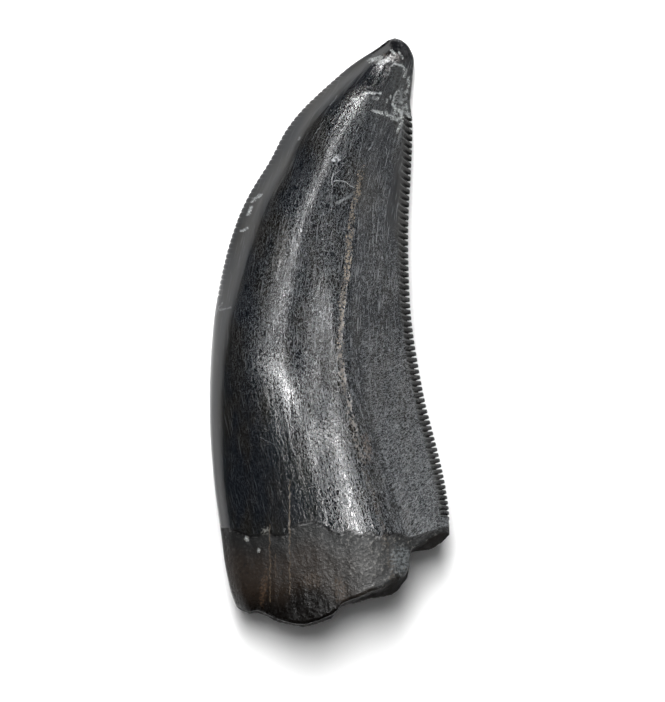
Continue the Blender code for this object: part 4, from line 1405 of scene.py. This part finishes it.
@dataclass(frozen=True)
class ToothFinish:
    """Finish of the tooth: blue-black wrinkled enamel over a dull brown-black root.

    Attributes:
        blue: The enamel's blue-black clouds.
        brown: Its brown-black clouds.
        streak: The pale lines of its grain, partly painted glints.
        flange_sheen_grey: Grey painted on the flange's lower end as its sheen.
        fleck_and_glint: The flange's pale flecks and threads, partly painted glints.
        root: The grey rear of the root.
        root_front_shade: Its black front, partly its own tone and partly painted shade.
        root_brown: Its brown lower front and lower end.
        root_pale: Its pale specks.
        root_pits_and_shade: Its dark pits, and the shade painted on its lower end and on the broken
            end.
        rust: The rusty stain beside the crease.
        rust_dark: The darker parts of that stain.
        shade_and_crack_black: Black painted as shade in the slits, the flange's pits and the seam
            below the enamel, and the colour of the dark cracks.
        lit_tooth_grey: The grey painted as a highlight on the lit side of each saw tooth.
        crust: The stain below the pale crust.
        pale_mark: The pale scratches.
        tan_mark: The tan scratches.
        wrinkle_height: Height of the wrinkles.
        groove_depth: What the wrinkles' narrow grooves add to it.
        streak_height: Height of the long streaks.
        enamel_ior: Index of refraction of the glossy enamel.
        root_ior: That of the dull root.
        wrinkle_roughness: Roughness in the wrinkles' grooves and on their tops.
        smooth_roughness: Roughness of the enamel where it isn't wrinkled.
        root_roughness: Roughness of the root's pits and of its bumps.
        low_root_gloss: What the root's lower end adds to its roughness.
        line_roughness: Roughness of the slits and of the seam below the enamel.
        break_roughness: Roughness of the broken end.
        stain_roughness: Roughness of the rusty stain.
        crust_roughness: Roughness of the pale stain.
        scratch_roughness: Roughness of the scratches.
        scratches: The thin marks of the upper face.
        patches: Its ragged patches.
    """

    blue: Colour = (0.0030, 0.0042, 0.0060)
    brown: Colour = (0.0062, 0.0058, 0.0050)
    streak: Colour = (0.200, 0.210, 0.220)
    flange_sheen_grey: Colour = (0.036, 0.040, 0.043)
    fleck_and_glint: Colour = (0.175, 0.183, 0.190)
    root: Colour = (0.0142, 0.0149, 0.0151)
    root_front_shade: Colour = (0.0050, 0.0052, 0.0054)
    root_brown: Colour = (0.0128, 0.0084, 0.0058)
    root_pale: Colour = (0.098, 0.095, 0.088)
    root_pits_and_shade: Colour = (0.0022, 0.0017, 0.0014)
    rust: Colour = (0.125, 0.092, 0.052)
    rust_dark: Colour = (0.022, 0.015, 0.009)
    shade_and_crack_black: Colour = (0.002, 0.002, 0.002)
    lit_tooth_grey: Colour = (0.075, 0.078, 0.075)
    crust: Colour = (0.235, 0.250, 0.250)
    pale_mark: Colour = (0.20, 0.215, 0.225)
    tan_mark: Colour = (0.115, 0.085, 0.055)
    wrinkle_height: float = 0.0072
    groove_depth: float = 0.0015
    streak_height: float = 0.008
    enamel_ior: float = 1.5
    root_ior: float = 1.22
    wrinkle_roughness: tuple = (0.10, 0.06)
    smooth_roughness: float = 0.29
    root_roughness: tuple = (0.54, 0.38)
    low_root_gloss: float = -0.18
    line_roughness: float = 0.25
    break_roughness: float = 0.85
    stain_roughness: float = 0.55
    crust_roughness: float = 0.40
    scratch_roughness: float = 0.50
    scratches: tuple = (
        Scratch((0.62, 10.70), (1.96, 11.50), 0.26, Tint.PALE, 0.38),
        Scratch((0.46, 12.58), (1.08, 12.58), 0.09, Tint.PALE, 0.60),
        Scratch((1.08, 12.58), (2.04, 12.00), 0.09, Tint.PALE, 0.60),
        Scratch((-6.38, 11.10), (-5.71, 11.45), 0.20, Tint.PALE, 0.50),
        Scratch((-6.83, 9.80), (-6.54, 10.40), 0.16, Tint.PALE, 0.45),
        Scratch((-7.45, 8.45), (-6.80, 8.62), 0.16, Tint.PALE, 0.40),
        Scratch((-9.55, 1.35), (-8.95, 2.40), 0.12, Tint.PALE, 0.35),
        Scratch((-9.15, 1.85), (-8.20, 2.05), 0.14, Tint.PALE, 0.32),
        Scratch((-2.62, 16.05), (-2.40, 16.22), 0.16, Tint.PALE, 0.45),
        Scratch((-5.70, -8.75), (-4.55, -9.30), 0.05, Tint.PALE, 0.28),
        Scratch((3.63, 10.75), (3.68, 5.20), 0.07, Tint.PALE, 0.42),
        Scratch((4.08, 11.30), (4.12, 8.30), 0.06, Tint.PALE, 0.34),
        Scratch((4.62, 10.60), (4.60, 7.20), 0.06, Tint.PALE, 0.30),
        Scratch((3.20, 3.90), (3.45, -6.00), 0.06, Tint.PALE, 0.22),
        Scratch((2.96, 19.93), (4.29, 19.90), 0.10, Tint.PALE, 0.55),
        Scratch((1.90, 19.42), (2.40, 19.45), 0.09, Tint.PALE, 0.50),
        Scratch((-4.96, -16.0), (-4.92, -22.4), 0.09, Tint.TAN, 0.45),
        Scratch((-3.30, -12.3), (-3.28, -21.7), 0.08, Tint.TAN, 0.50),
        Scratch((-3.30, -14.6), (-3.28, -17.1), 0.13, Tint.TAN, 0.50),
        Scratch((-4.50, -18.4), (-4.48, -20.4), 0.07, Tint.TAN, 0.35),
        Scratch((3.63, 15.78), (3.29, 15.17), 0.12, Tint.PALE, 0.50),
        Scratch((3.76, 17.33), (3.50, 16.54), 0.09, Tint.PALE, 0.45),
        Scratch((4.71, 15.50), (4.79, 14.75), 0.08, Tint.PALE, 0.40),
        Scratch((3.10, 18.00), (2.30, 13.60), 0.06, Tint.PALE, 0.25),
        Scratch((0.25, 13.25), (0.18, 9.92), 0.07, Tint.PALE, 0.30),
        Scratch((0.69, 19.73), (0.04, 18.97), 0.06, Tint.PALE, 0.40),
        Scratch((-0.40, 17.70), (-1.50, 16.00), 0.06, Tint.PALE, 0.30),
        # These four dark marks paint the shadow under the enamel's lower edge; the two after them are
        # dark cracks.
        Scratch((0.09, -16.29), (0.74, -16.67), 0.14, Tint.DARK, 0.70),
        Scratch((0.74, -16.67), (1.66, -16.50), 0.17, Tint.DARK, 0.80),
        Scratch((1.66, -16.50), (2.18, -16.55), 0.15, Tint.DARK, 0.80),
        Scratch((2.18, -16.55), (2.96, -16.94), 0.13, Tint.DARK, 0.70),
        Scratch((7.75, -16.85), (8.96, -16.42), 0.09, Tint.DARK, 0.90),
        Scratch((7.40, -17.40), (8.55, -16.95), 0.07, Tint.DARK, 0.70),
    )
    patches: tuple = (
        Patch((5.40, 23.50), (2.30, 1.20), -10.0, (0.003, 0.003, 0.004), 0.12, 0.95, 0.3),
        Patch((-4.20, 6.50), (0.62, 3.00), -14.0, (0.046, 0.043, 0.037), 0.40, 0.32, 0.5),
        Patch((0.60, 14.40), (0.42, 0.34), 20.0, (0.110, 0.125, 0.140), 0.45, 0.55),
        Patch((4.20, 22.75), (0.80, 0.36), 12.0, (0.170, 0.170, 0.160), 0.85, 0.42, 0.2),
        Patch((5.30, 22.95), (0.95, 0.42), -8.0, (0.024, 0.015, 0.009), 0.40, 0.70),
        Patch((5.70, 21.20), (0.95, 1.60), 0.0, (0.028, 0.032, 0.033), 0.30, 0.60),
        Patch((5.95, 19.30), (0.75, 1.15), 0.0, (0.110, 0.118, 0.120), 0.50, 0.55, 0.25),
        Patch((3.10, -9.60), (0.40, 1.30), 8.0, (0.042, 0.026, 0.014), 0.45, 0.70),
        Patch((-5.45, -21.2), (0.30, 1.60), -8.0, (0.070, 0.040, 0.021), 0.60, 0.45, 0.2),
        Patch((-1.45, -20.6), (0.95, 0.70), 0.0, (0.045, 0.030, 0.019), 0.60, 0.50, 0.2),
        Patch((0.90, -21.3), (0.60, 1.30), 10.0, (0.052, 0.034, 0.020), 0.60, 0.50),
        Patch((-5.30, -16.5), (0.34, 0.42), -35.0, (0.120, 0.118, 0.105), 0.60, 0.60, 0.2),
        Patch((-6.90, -17.2), (0.28, 0.20), 0.0, (0.170, 0.165, 0.150), 0.60, 0.65, 0.15),
        Patch((-5.85, -18.1), (0.13, 0.13), 0.0, (0.230, 0.225, 0.210), 0.60, 0.70, 0.15),
        Patch((6.00, -18.9), (0.95, 1.30), 15.0, (0.105, 0.114, 0.118), 0.45, 0.85, 0.3),
        Patch((3.30, -19.1), (1.20, 1.60), 0.0, (0.062, 0.060, 0.056), 0.40, 0.35, 0.16),
    )

    def material(self, name: str, ior: float) -> bpy.types.Material:
        """Return the material of one part of the tooth.

        Args:
            name: The material's name.
            ior: Its index of refraction.

        Returns:
            The material.
        """
        material = bpy.data.materials.new(name)
        material.use_nodes = True
        graph = Graph(material.node_tree)
        shader = material.node_tree.nodes["Principled BSDF"]
        place = graph.place()
        from_edge = graph.point_value("enamel_gap")
        enamel = graph.step(from_edge, -0.15, 0.15)
        # A thin black line along the enamel's lower edge is painted shade under its ledge.
        seam = graph.step(graph.math("ABSOLUTE", from_edge), 0.20, 0.06, 0.0, 0.75)
        slit, teeth, tooth = self.slits(graph)
        wrinkle, streak, wrinkled = self.enamel_relief(graph)
        pits = graph.noise(place, 3.6, 4.0, 0.62)
        skin = self.enamel_colour(graph, place, wrinkle, streak, wrinkled)
        colour = graph.blend(enamel, self.root_colour(graph, pits), skin)
        colour = graph.blend(seam, colour, self.shade_and_crack_black)
        gloss = graph.mix(enamel, self.root_gloss(graph, pits),
                          self.enamel_gloss(graph, wrinkle, wrinkled))
        gloss = graph.mix(seam, gloss, self.line_roughness)
        gloss = graph.mix(graph.point_value("broken"), gloss, self.break_roughness)
        colour, gloss = self.crease_stain(graph, place, colour, gloss)
        colour, gloss = self.marks(graph, place, colour, gloss)
        # Each saw tooth is painted from brown-black on one side to grey on the other, as painted shade
        # and highlight.
        tops = graph.blend(graph.step(tooth, 0.45, 0.90), self.brown, self.lit_tooth_grey)
        colour = graph.blend(teeth, colour, tops)
        # The slits between the saw teeth are painted black, as shade.
        colour = graph.blend(slit, colour, self.shade_and_crack_black)
        height = graph.mix(enamel, graph.math("MULTIPLY_ADD", pits, 0.060, -0.044),
                           self.enamel_height(graph, wrinkle, streak, wrinkled))
        bump = graph.make("ShaderNodeBump", {"Height": height, "Distance": MM, "Strength": 1.0})
        graph.feed(shader.inputs["Base Color"], colour)
        graph.feed(shader.inputs["Roughness"], graph.mix(slit, gloss, self.line_roughness))
        graph.feed(shader.inputs["Normal"], bump.outputs[0])
        shader.inputs["IOR"].default_value = ior
        return material

    def root_colour(self, graph: Graph, pits: Value) -> Socket:
        """Return the root's colour: black in front, speckled grey behind, with painted shade on its
        front, its lower end and its broken end.
        """
        behind = graph.point_value("crease_gap")
        from_edge = graph.point_value("enamel_gap")
        brown = graph.times(graph.step(behind, 0.0, -7.0), graph.step(from_edge, -0.4, -3.0))
        brown = graph.most(brown, graph.step(from_edge, -4.0, -5.2))
        # The root's front is painted darker than its rear, partly its own tone and partly painted
        # shade.
        tone = graph.blend(graph.step(behind, -8.5, -2.0), self.root_front_shade, self.root)
        tone = graph.blend(brown, tone, self.root_brown)
        speckled = graph.step(behind, -10.0, 0.5, 0.12, 0.9)
        speck = graph.times(graph.step(pits, 0.53, 0.66), speckled)
        tone = graph.blend(speck, tone, self.root_pale)
        # The root's lower end and its broken end are painted dark, as shade.
        above_break = graph.step(from_edge, -6.4, -4.2)
        dark = graph.most(graph.step(pits, 0.46, 0.34, 0.0, 0.8), graph.rest(above_break))
        dark = graph.most(dark, graph.times(graph.point_value("broken"), 0.9))
        return graph.blend(dark, tone, self.root_pits_and_shade)

    def root_gloss(self, graph: Graph, pits: Value) -> Socket:
        """Return the root's roughness, less at its lower end."""
        low = graph.step(graph.point_value("enamel_gap"), -3.4, -5.0, 0.0, self.low_root_gloss)
        return graph.math("ADD", graph.step(pits, 0.3, 0.7, *self.root_roughness), low)

    def slits(self, graph: Graph) -> tuple[Value, Value, Value]:
        """Return what colours the saw teeth of the rear edge.

        Args:
            graph: The material's graph.

        Returns:
            1 in the slits, which are painted black as shade, 1 along the row of teeth, and how far up
            a tooth a point is, from 0 to 1, which places each tooth's painted highlight.
        """
        gap = graph.point_value("edge_gap")
        slant = graph.step(graph.point_value("station"), *SLANT_SPAN, 0.0, Crown.slant)
        run = graph.math("SUBTRACT", graph.point_value("saw_run"), graph.times(gap, slant))
        nearest = graph.math("ROUND", run)
        off = graph.math("ABSOLUTE", graph.math("SUBTRACT", run, nearest))
        wobble = graph.noise(graph.combine(nearest, SAW_SEED, SAW_LAYER), SAW_NOISE_SCALE, 1.0)
        reach = graph.ramp(wobble, 0.3, 0.7, 0.72, 1.02)
        half = graph.ramp(gap, 0.0, reach, 0.32, 0.16)
        line = graph.step(off, graph.times(half, 0.4), graph.times(half, 1.3), 1.0, 0.0)
        line = graph.times(line, graph.step(gap, graph.times(reach, 0.7), reach, 1.0, 0.0))
        sawn = graph.step(graph.point_value("saw_share"), 0.6, 0.95)
        teeth = graph.times(sawn, graph.step(gap, 1.05, 0.65, 0.0, 0.85))
        return graph.times(line, sawn), teeth, graph.math("FRACT", run)

    def enamel_relief(self, graph: Graph) -> tuple[Value, Value, Value]:
        """Return the wrinkles and streaks of the enamel, and where they are strong.

        Args:
            graph: The material's graph.

        Returns:
            The wrinkles and the streaks, from 0 to 1, and 1 where the skin is wrinkled
            and 0 where it is smooth.
        """
        group = grain_group()
        flow = graph.point_value("flow", "Vector")
        behind = graph.point_value("crease_gap")
        station = graph.point_value("station")
        body = self.grain(graph, group, flow, 0.15, 0.40, 0.8, "Wrinkle")
        slanted = self.grain(graph, group, graph.turned(flow, 0.9), 0.13, 0.32, 0.7, "Wrinkle")
        low_flange = graph.times(graph.step(behind, 0.8, 1.8), graph.step(station, 0.56, 0.44))
        wrinkle = graph.mix(low_flange, body, slanted)
        streak = self.grain(graph, group, flow, 0.11, 2.2, 0.4, "Height")
        beside_crease = graph.times(graph.step(behind, 0.10, 0.40), graph.step(behind, 2.3, 1.3),
                                    graph.step(station, 0.34, 0.44))
        rear_rim = graph.times(graph.step(behind, 2.2, 2.8), graph.step(station, 0.62, 0.70))
        worn = graph.most(graph.times(beside_crease, 0.28), rear_rim)
        behind_flank = graph.step(graph.point_value("flank_gap"), -0.1, 1.0)
        wrinkled = graph.times(behind_flank, graph.rest(worn))
        low_front = graph.times(graph.step(behind, -3.6, -5.4), graph.step(station, 0.44, 0.30))
        return wrinkle, streak, graph.times(wrinkled, graph.mix(low_front, 1.0, 0.62))

    def enamel_gloss(self, graph: Graph, wrinkle: Value, wrinkled: Value) -> Socket:
        """Return the enamel's roughness: glossy wrinkles, and duller where it is smooth."""
        glossy = graph.mix(wrinkle, *self.wrinkle_roughness)
        return graph.mix(wrinkled, self.smooth_roughness, glossy)

    def enamel_height(
        self, graph: Graph, wrinkle: Value, streak: Value, wrinkled: Value
    ) -> Socket:
        """Return the height of the enamel's grain, highest on the flange's lower part."""
        flange = graph.step(graph.point_value("crease_gap"), 0.6, 1.6, 1.0, 2.2)
        fading = graph.step(graph.point_value("station"), 0.42, 0.58, 1.0, 0.60)
        height = graph.times(wrinkled, graph.times(flange, fading), self.wrinkle_height)
        height = graph.times(wrinkle, height)
        groove = graph.times(wrinkled, graph.step(wrinkle, 0.02, 0.30))
        height = graph.math("MULTIPLY_ADD", groove, self.groove_depth, height)
        tall = graph.mix(wrinkled, 0.25 * self.streak_height, self.streak_height)
        return graph.math("MULTIPLY_ADD", streak, tall, height)

    def enamel_colour(
        self, graph: Graph, place: Value, wrinkle: Value, streak: Value, wrinkled: Value
    ) -> Socket:
        """Return the enamel's colour: blue-black and brown-black clouds under pale lines, which are
        partly painted glints and kept faint where the enamel lies in shade.
        """
        behind = graph.point_value("crease_gap")
        station = graph.point_value("station")
        clouds = graph.noise(graph.vector("MULTIPLY", place, (1.0, 0.35, 1.0)), 0.55, 3.0, 0.6)
        colour = graph.blend(graph.step(clouds, 0.38, 0.66), self.blue, self.brown)
        # lit_zone is where the pale grain lines, partly painted glints, show fully; they fade on the
        # low front, beside the front flank, on the upper crown and at the tip, where the enamel shows
        # darker in its light.
        off_low_front = graph.most(graph.step(behind, -5.0, -1.6), graph.step(station, 0.24, 0.50))
        off_flank = graph.step(graph.point_value("flank_gap"), 0.8, 3.2, 0.10, 1.0)
        crown_fading = graph.step(station, 0.62, 0.84, 1.0, 0.62)
        tip_fading = graph.step(station, 0.85, 0.93, 1.0, 0.35)
        lit_zone = graph.times(off_low_front, off_flank, crown_fading, tip_fading)
        veins_and_glints = graph.times(graph.step(wrinkle, 0.10, 0.02), 0.76, graph.mix(lit_zone, 0.18, 1.0))
        colour = graph.blend(graph.times(veins_and_glints, wrinkled), colour, self.streak)
        lines = graph.times(graph.step(streak, 0.57, 0.68), 0.34, graph.mix(lit_zone, 0.20, 1.0))
        colour = graph.blend(lines, colour, self.streak)
        # The flange's lower end is painted greyer, as painted sheen.
        low_flange = graph.times(graph.step(behind, 0.8, 3.2), graph.step(station, 0.45, 0.12))
        colour = graph.blend(graph.times(low_flange, 0.42), colour, self.flange_sheen_grey)
        # On the flange, dark pits among the wrinkles are painted shade and pale flecks are partly
        # painted glints, thickest towards the root.
        flange = graph.times(graph.step(behind, 0.5, 1.4), graph.step(station, 0.66, 0.46))
        pits = graph.times(flange, graph.step(wrinkle, 0.36, 0.72, 0.0, 0.88))
        colour = graph.blend(pits, colour, self.shade_and_crack_black)
        flecks = graph.times(flange, graph.step(wrinkle, 0.20, 0.03),
                             graph.step(station, 0.46, 0.14, 0.42, 0.78))
        colour = graph.blend(flecks, colour, self.fleck_and_glint)
        threads = graph.times(graph.step(behind, 0.1, 0.6), graph.step(streak, 0.58, 0.68, 0.0, 0.45),
                              graph.step(station, 0.34, 0.52, 0.2, 1.0))
        return graph.blend(threads, colour, self.fleck_and_glint)

    def crease_stain(
        self, graph: Graph, place: Value, colour: Value, gloss: Value
    ) -> tuple[Value, Value]:
        """Lay the rusty stain beside the crease over the finish.

        Args:
            graph: The material's graph.
            place: Object coordinates in millimetres.
            colour: The colour below it.
            gloss: The roughness below it.

        Returns:
            The colour and the roughness with the stain.
        """
        station = graph.point_value("station")
        waver = graph.math("MULTIPLY_ADD", graph.noise(place, 0.8, 3.0, 0.6), 0.9, -0.45)
        behind = graph.math("ADD", graph.point_value("crease_gap"), waver)
        band = graph.times(graph.step(behind, -0.46, -0.18), graph.step(behind, 0.18, 0.02))
        reach = graph.times(graph.step(station, 0.15, 0.34, 0.35, 1.0),
                            graph.step(station, 0.78, 0.72), graph.point_value("upper"))
        speck = graph.noise(place, 4.2, 3.0, 0.6)
        share = graph.times(band, reach, graph.step(speck, 0.45, 0.57, 0.04, 0.92))
        bright = graph.times(graph.step(speck, 0.44, 0.66), graph.step(station, 0.42, 0.62, 0.35, 1.0))
        colour = graph.blend(share, colour, graph.blend(bright, self.rust_dark, self.rust))
        return colour, graph.mix(share, gloss, self.stain_roughness)

    def marks(
        self, graph: Graph, place: Value, colour: Value, gloss: Value
    ) -> tuple[Value, Value]:
        """Lay the patches and scratches of the upper face over the finish.

        Args:
            graph: The material's graph.
            place: Object coordinates in millimetres.
            colour: The colour below them.
            gloss: The roughness below them.

        Returns:
            The colour and the roughness with the marks.
        """
        line, oval = line_group(), patch_group()
        flat = graph.vector("MULTIPLY", place, (1.0, 1.0, 0.0))
        upper = graph.step(graph.point_value("upper"), 0.6, 0.9)
        grit = graph.step(graph.noise(flat, 4.6, 2.0, 0.6), 0.40, 0.60, 0.12, 1.0)
        gritty = graph.times(grit, upper)
        for mark in self.patches:
            node = graph.group(oval, {
                "Place": flat, "Centre": (*mark.centre, 0.0),
                "Half Size": (*mark.half_size, 1.0), "Turn": math.radians(mark.turn),
                "Raggedness": 1.0, "Grain": mark.grain,
            })
            share = graph.times(graph.times(node.outputs["Mask"], mark.strength), gritty)
            colour = graph.blend(share, colour, mark.colour)
            gloss = graph.mix(share, gloss, mark.roughness)
        thin = graph.step(graph.noise(flat, 3.4, 2.0, 0.6), 0.36, 0.56, 0.14, 0.88)
        crust = graph.times(graph.point_value("crust"), thin)
        colour = graph.blend(crust, colour, self.crust)
        gloss = graph.mix(crust, gloss, self.crust_roughness)
        broken = graph.step(graph.noise(flat, 5.0, 2.0, 0.6), 0.36, 0.56, 0.25, 1.0)
        shaken = self.shaken(graph, flat)
        tones = {Tint.PALE: self.pale_mark, Tint.TAN: self.tan_mark, Tint.DARK: self.shade_and_crack_black}
        for tint, tone in tones.items():
            total = 0.0
            for mark in (mark for mark in self.scratches if mark.tint is tint):
                node = graph.group(line, {
                    "Place": shaken, "Start": (*mark.start, 0.0), "End": (*mark.end, 0.0),
                    "Width": mark.width,
                })
                total = graph.most(total, graph.times(node.outputs["Mask"], mark.strength))
            total = graph.times(total, broken, upper)
            colour = graph.blend(total, colour, tone)
            gloss = graph.mix(total, gloss, self.scratch_roughness)
        return colour, gloss

    @staticmethod
    def shaken(graph: Graph, flat: Value) -> Socket:
        """Return places in plan, each moved a little, so that scratches waver."""
        inputs = {"Vector": flat, "Scale": 2.2, "Detail": 3.0}
        noise = graph.make("ShaderNodeTexNoise", inputs, noise_dimensions="2D").outputs["Color"]
        moves = graph.vector("SUBTRACT", noise, (0.5, 0.5, 0.5))
        moves = graph.vector("MULTIPLY", moves, (0.30, 0.30, 0.0))
        return graph.vector("ADD", flat, moves)

    @staticmethod
    def grain(
        graph: Graph, group: Tree, flow: Value, width: float, length: float,
        warp: float, output: str,
    ) -> Socket:
        """Return one output of a grain of the enamel."""
        inputs = {"Flow": flow, "Cell Width": width, "Cell Length": length, "Warp": warp}
        return graph.group(group, inputs).outputs[output]


@dataclass(frozen=True)
class SoftBox:
    """A rectangular light, in metres.

    Attributes:
        name: Its name.
        place: Where it is.
        size: Its width and length.
        radiance: How bright its face is; the table is about 1.
        level: True if it lies level, False if it faces the tooth.
        is_card: True if it shows only as a reflection, False if it only sheds light.
    """

    name: str
    place: Place
    size: tuple[float, float]
    radiance: float
    level: bool
    is_card: bool = True

    def build(self) -> None:
        """Add the light to the scene."""
        data = bpy.data.lights.new(self.name, "AREA")
        data.shape = "RECTANGLE"
        data.size, data.size_y = self.size
        data.energy = self.radiance * math.pi * self.size[0] * self.size[1]
        light = bpy.data.objects.new(self.name, data)
        light.location = self.place
        if not self.level:
            light.rotation_euler = Vector(self.place).to_track_quat("Z", "Y").to_euler()
        light.visible_camera = False
        light.visible_diffuse = not self.is_card
        light.visible_glossy = self.is_card
        bpy.context.scene.collection.objects.link(light)


@dataclass
class Studio:
    """The pale table, the soft lights and the camera.

    Attributes:
        picture_width: Width of the picture's frame at the tooth, in millimetres.
        aim: Where the camera looks, in plan.
        distance: From the camera to the tooth's widest level.
        widest_level: Height of the tooth's outline above the table.
        sensor: Width of the camera's sensor.
        clip: Nearest and farthest thing that the camera sees, in metres.
        table_half: Half the table's width, in metres.
        table_colour: The table's colour.
        table_roughness: Its roughness.
        room_light: How bright the room is as a light.
        room_reflection: How bright it is as a reflection.
        lights: The soft boxes.
    """

    picture_width: float = 665 / 12
    aim: tuple = (0.25, -1.58)
    distance: float = 700.0
    widest_level: float = 4.5
    sensor: float = 36.0
    clip: tuple = (0.01, 20.0)
    table_half: float = 1.6
    table_colour: Colour = (0.92, 0.92, 0.92)
    table_roughness: float = 0.6
    room_light: float = 0.11
    room_reflection: float = 0.02
    lights: tuple = (
        SoftBox("soft_key", (-0.022, 0.21, 0.43), (0.15, 0.36), 24.5, level=True, is_card=False),
        SoftBox("overhead_strip", (-0.035, 0.045, 0.43), (0.062, 0.15), 78.0, level=True),
        SoftBox("crown_strip", (-0.036, 0.285, 0.43), (0.078, 0.33), 172.0, level=True),
        SoftBox("right_card", (0.39, 0.0, 0.26), (0.5, 0.15), 1.45, level=False),
        SoftBox("left_card", (-0.045, 0.0, 0.0), (0.30, 0.012), 0.34, level=False),
    )

    def add_camera(self) -> None:
        """Add the camera, straight above the tooth."""
        data = bpy.data.cameras.new("camera")
        data.sensor_fit = "HORIZONTAL"
        data.sensor_width = self.sensor
        data.lens = self.sensor * self.distance / self.picture_width
        data.clip_start, data.clip_end = self.clip
        camera = bpy.data.objects.new("camera", data)
        camera.location = Vector((*self.aim, self.distance + self.widest_level)) * MM
        bpy.context.scene.collection.objects.link(camera)
        bpy.context.scene.camera = camera

    def add_table(self) -> None:
        """Add the pale table, which isn't part of the tooth."""
        half = self.table_half
        data = bpy.data.meshes.new("table")
        corners = [(-half, -half, 0.0), (half, -half, 0.0), (half, half, 0.0), (-half, half, 0.0)]
        data.from_pydata(corners, [], [(0, 1, 2, 3)])
        data.materials.append(plain_material("pale_table", self.table_colour, self.table_roughness))
        table = bpy.data.objects.new("table", data)
        bpy.context.scene.collection.objects.link(table)

    def add_world(self) -> None:
        """Add the pale room, which hardly shows in the enamel."""
        world = bpy.data.worlds.new("studio")
        bpy.context.scene.world = world
        world.use_nodes = True
        graph = Graph(world.node_tree)
        room = world.node_tree.nodes["Background"]
        room.inputs["Color"].default_value = (1.0, 1.0, 1.0, 1.0)
        glossy = graph.node("ShaderNodeLightPath").outputs["Is Glossy Ray"]
        strength = graph.mix(glossy, self.room_light, self.room_reflection)
        graph.feed(room.inputs["Strength"], strength)

    def build(self) -> None:
        """Set up the studio, the camera first."""
        self.add_camera()
        self.add_table()
        for light in self.lights:
            light.build()
        self.add_world()
        bpy.context.scene.view_settings.view_transform = "Standard"


def dress(piece: bpy.types.Object) -> None:
    """Make a piece ride on the tooth's body and log how many points and faces it has."""
    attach(piece, BODY)
    faces = len(piece.data.polygons)
    LOG.info("%s: %d points, %d faces", piece.name, len(piece.data.vertices), faces)


def main() -> None:
    """Build the studio and the tooth, in that order."""
    logging.basicConfig(level=logging.INFO, format="%(name)s: %(message)s")
    Studio().build()
    finish = ToothFinish()
    crown = Crown().build(finish.material("fossil_enamel", finish.enamel_ior),
                          finish.material("fossil_root", finish.root_ior))
    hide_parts(NODE)
    dress(crown)
    for lumps in LUMPS:
        dress(lumps.build(crown))


if __name__ == "__main__":
    main()
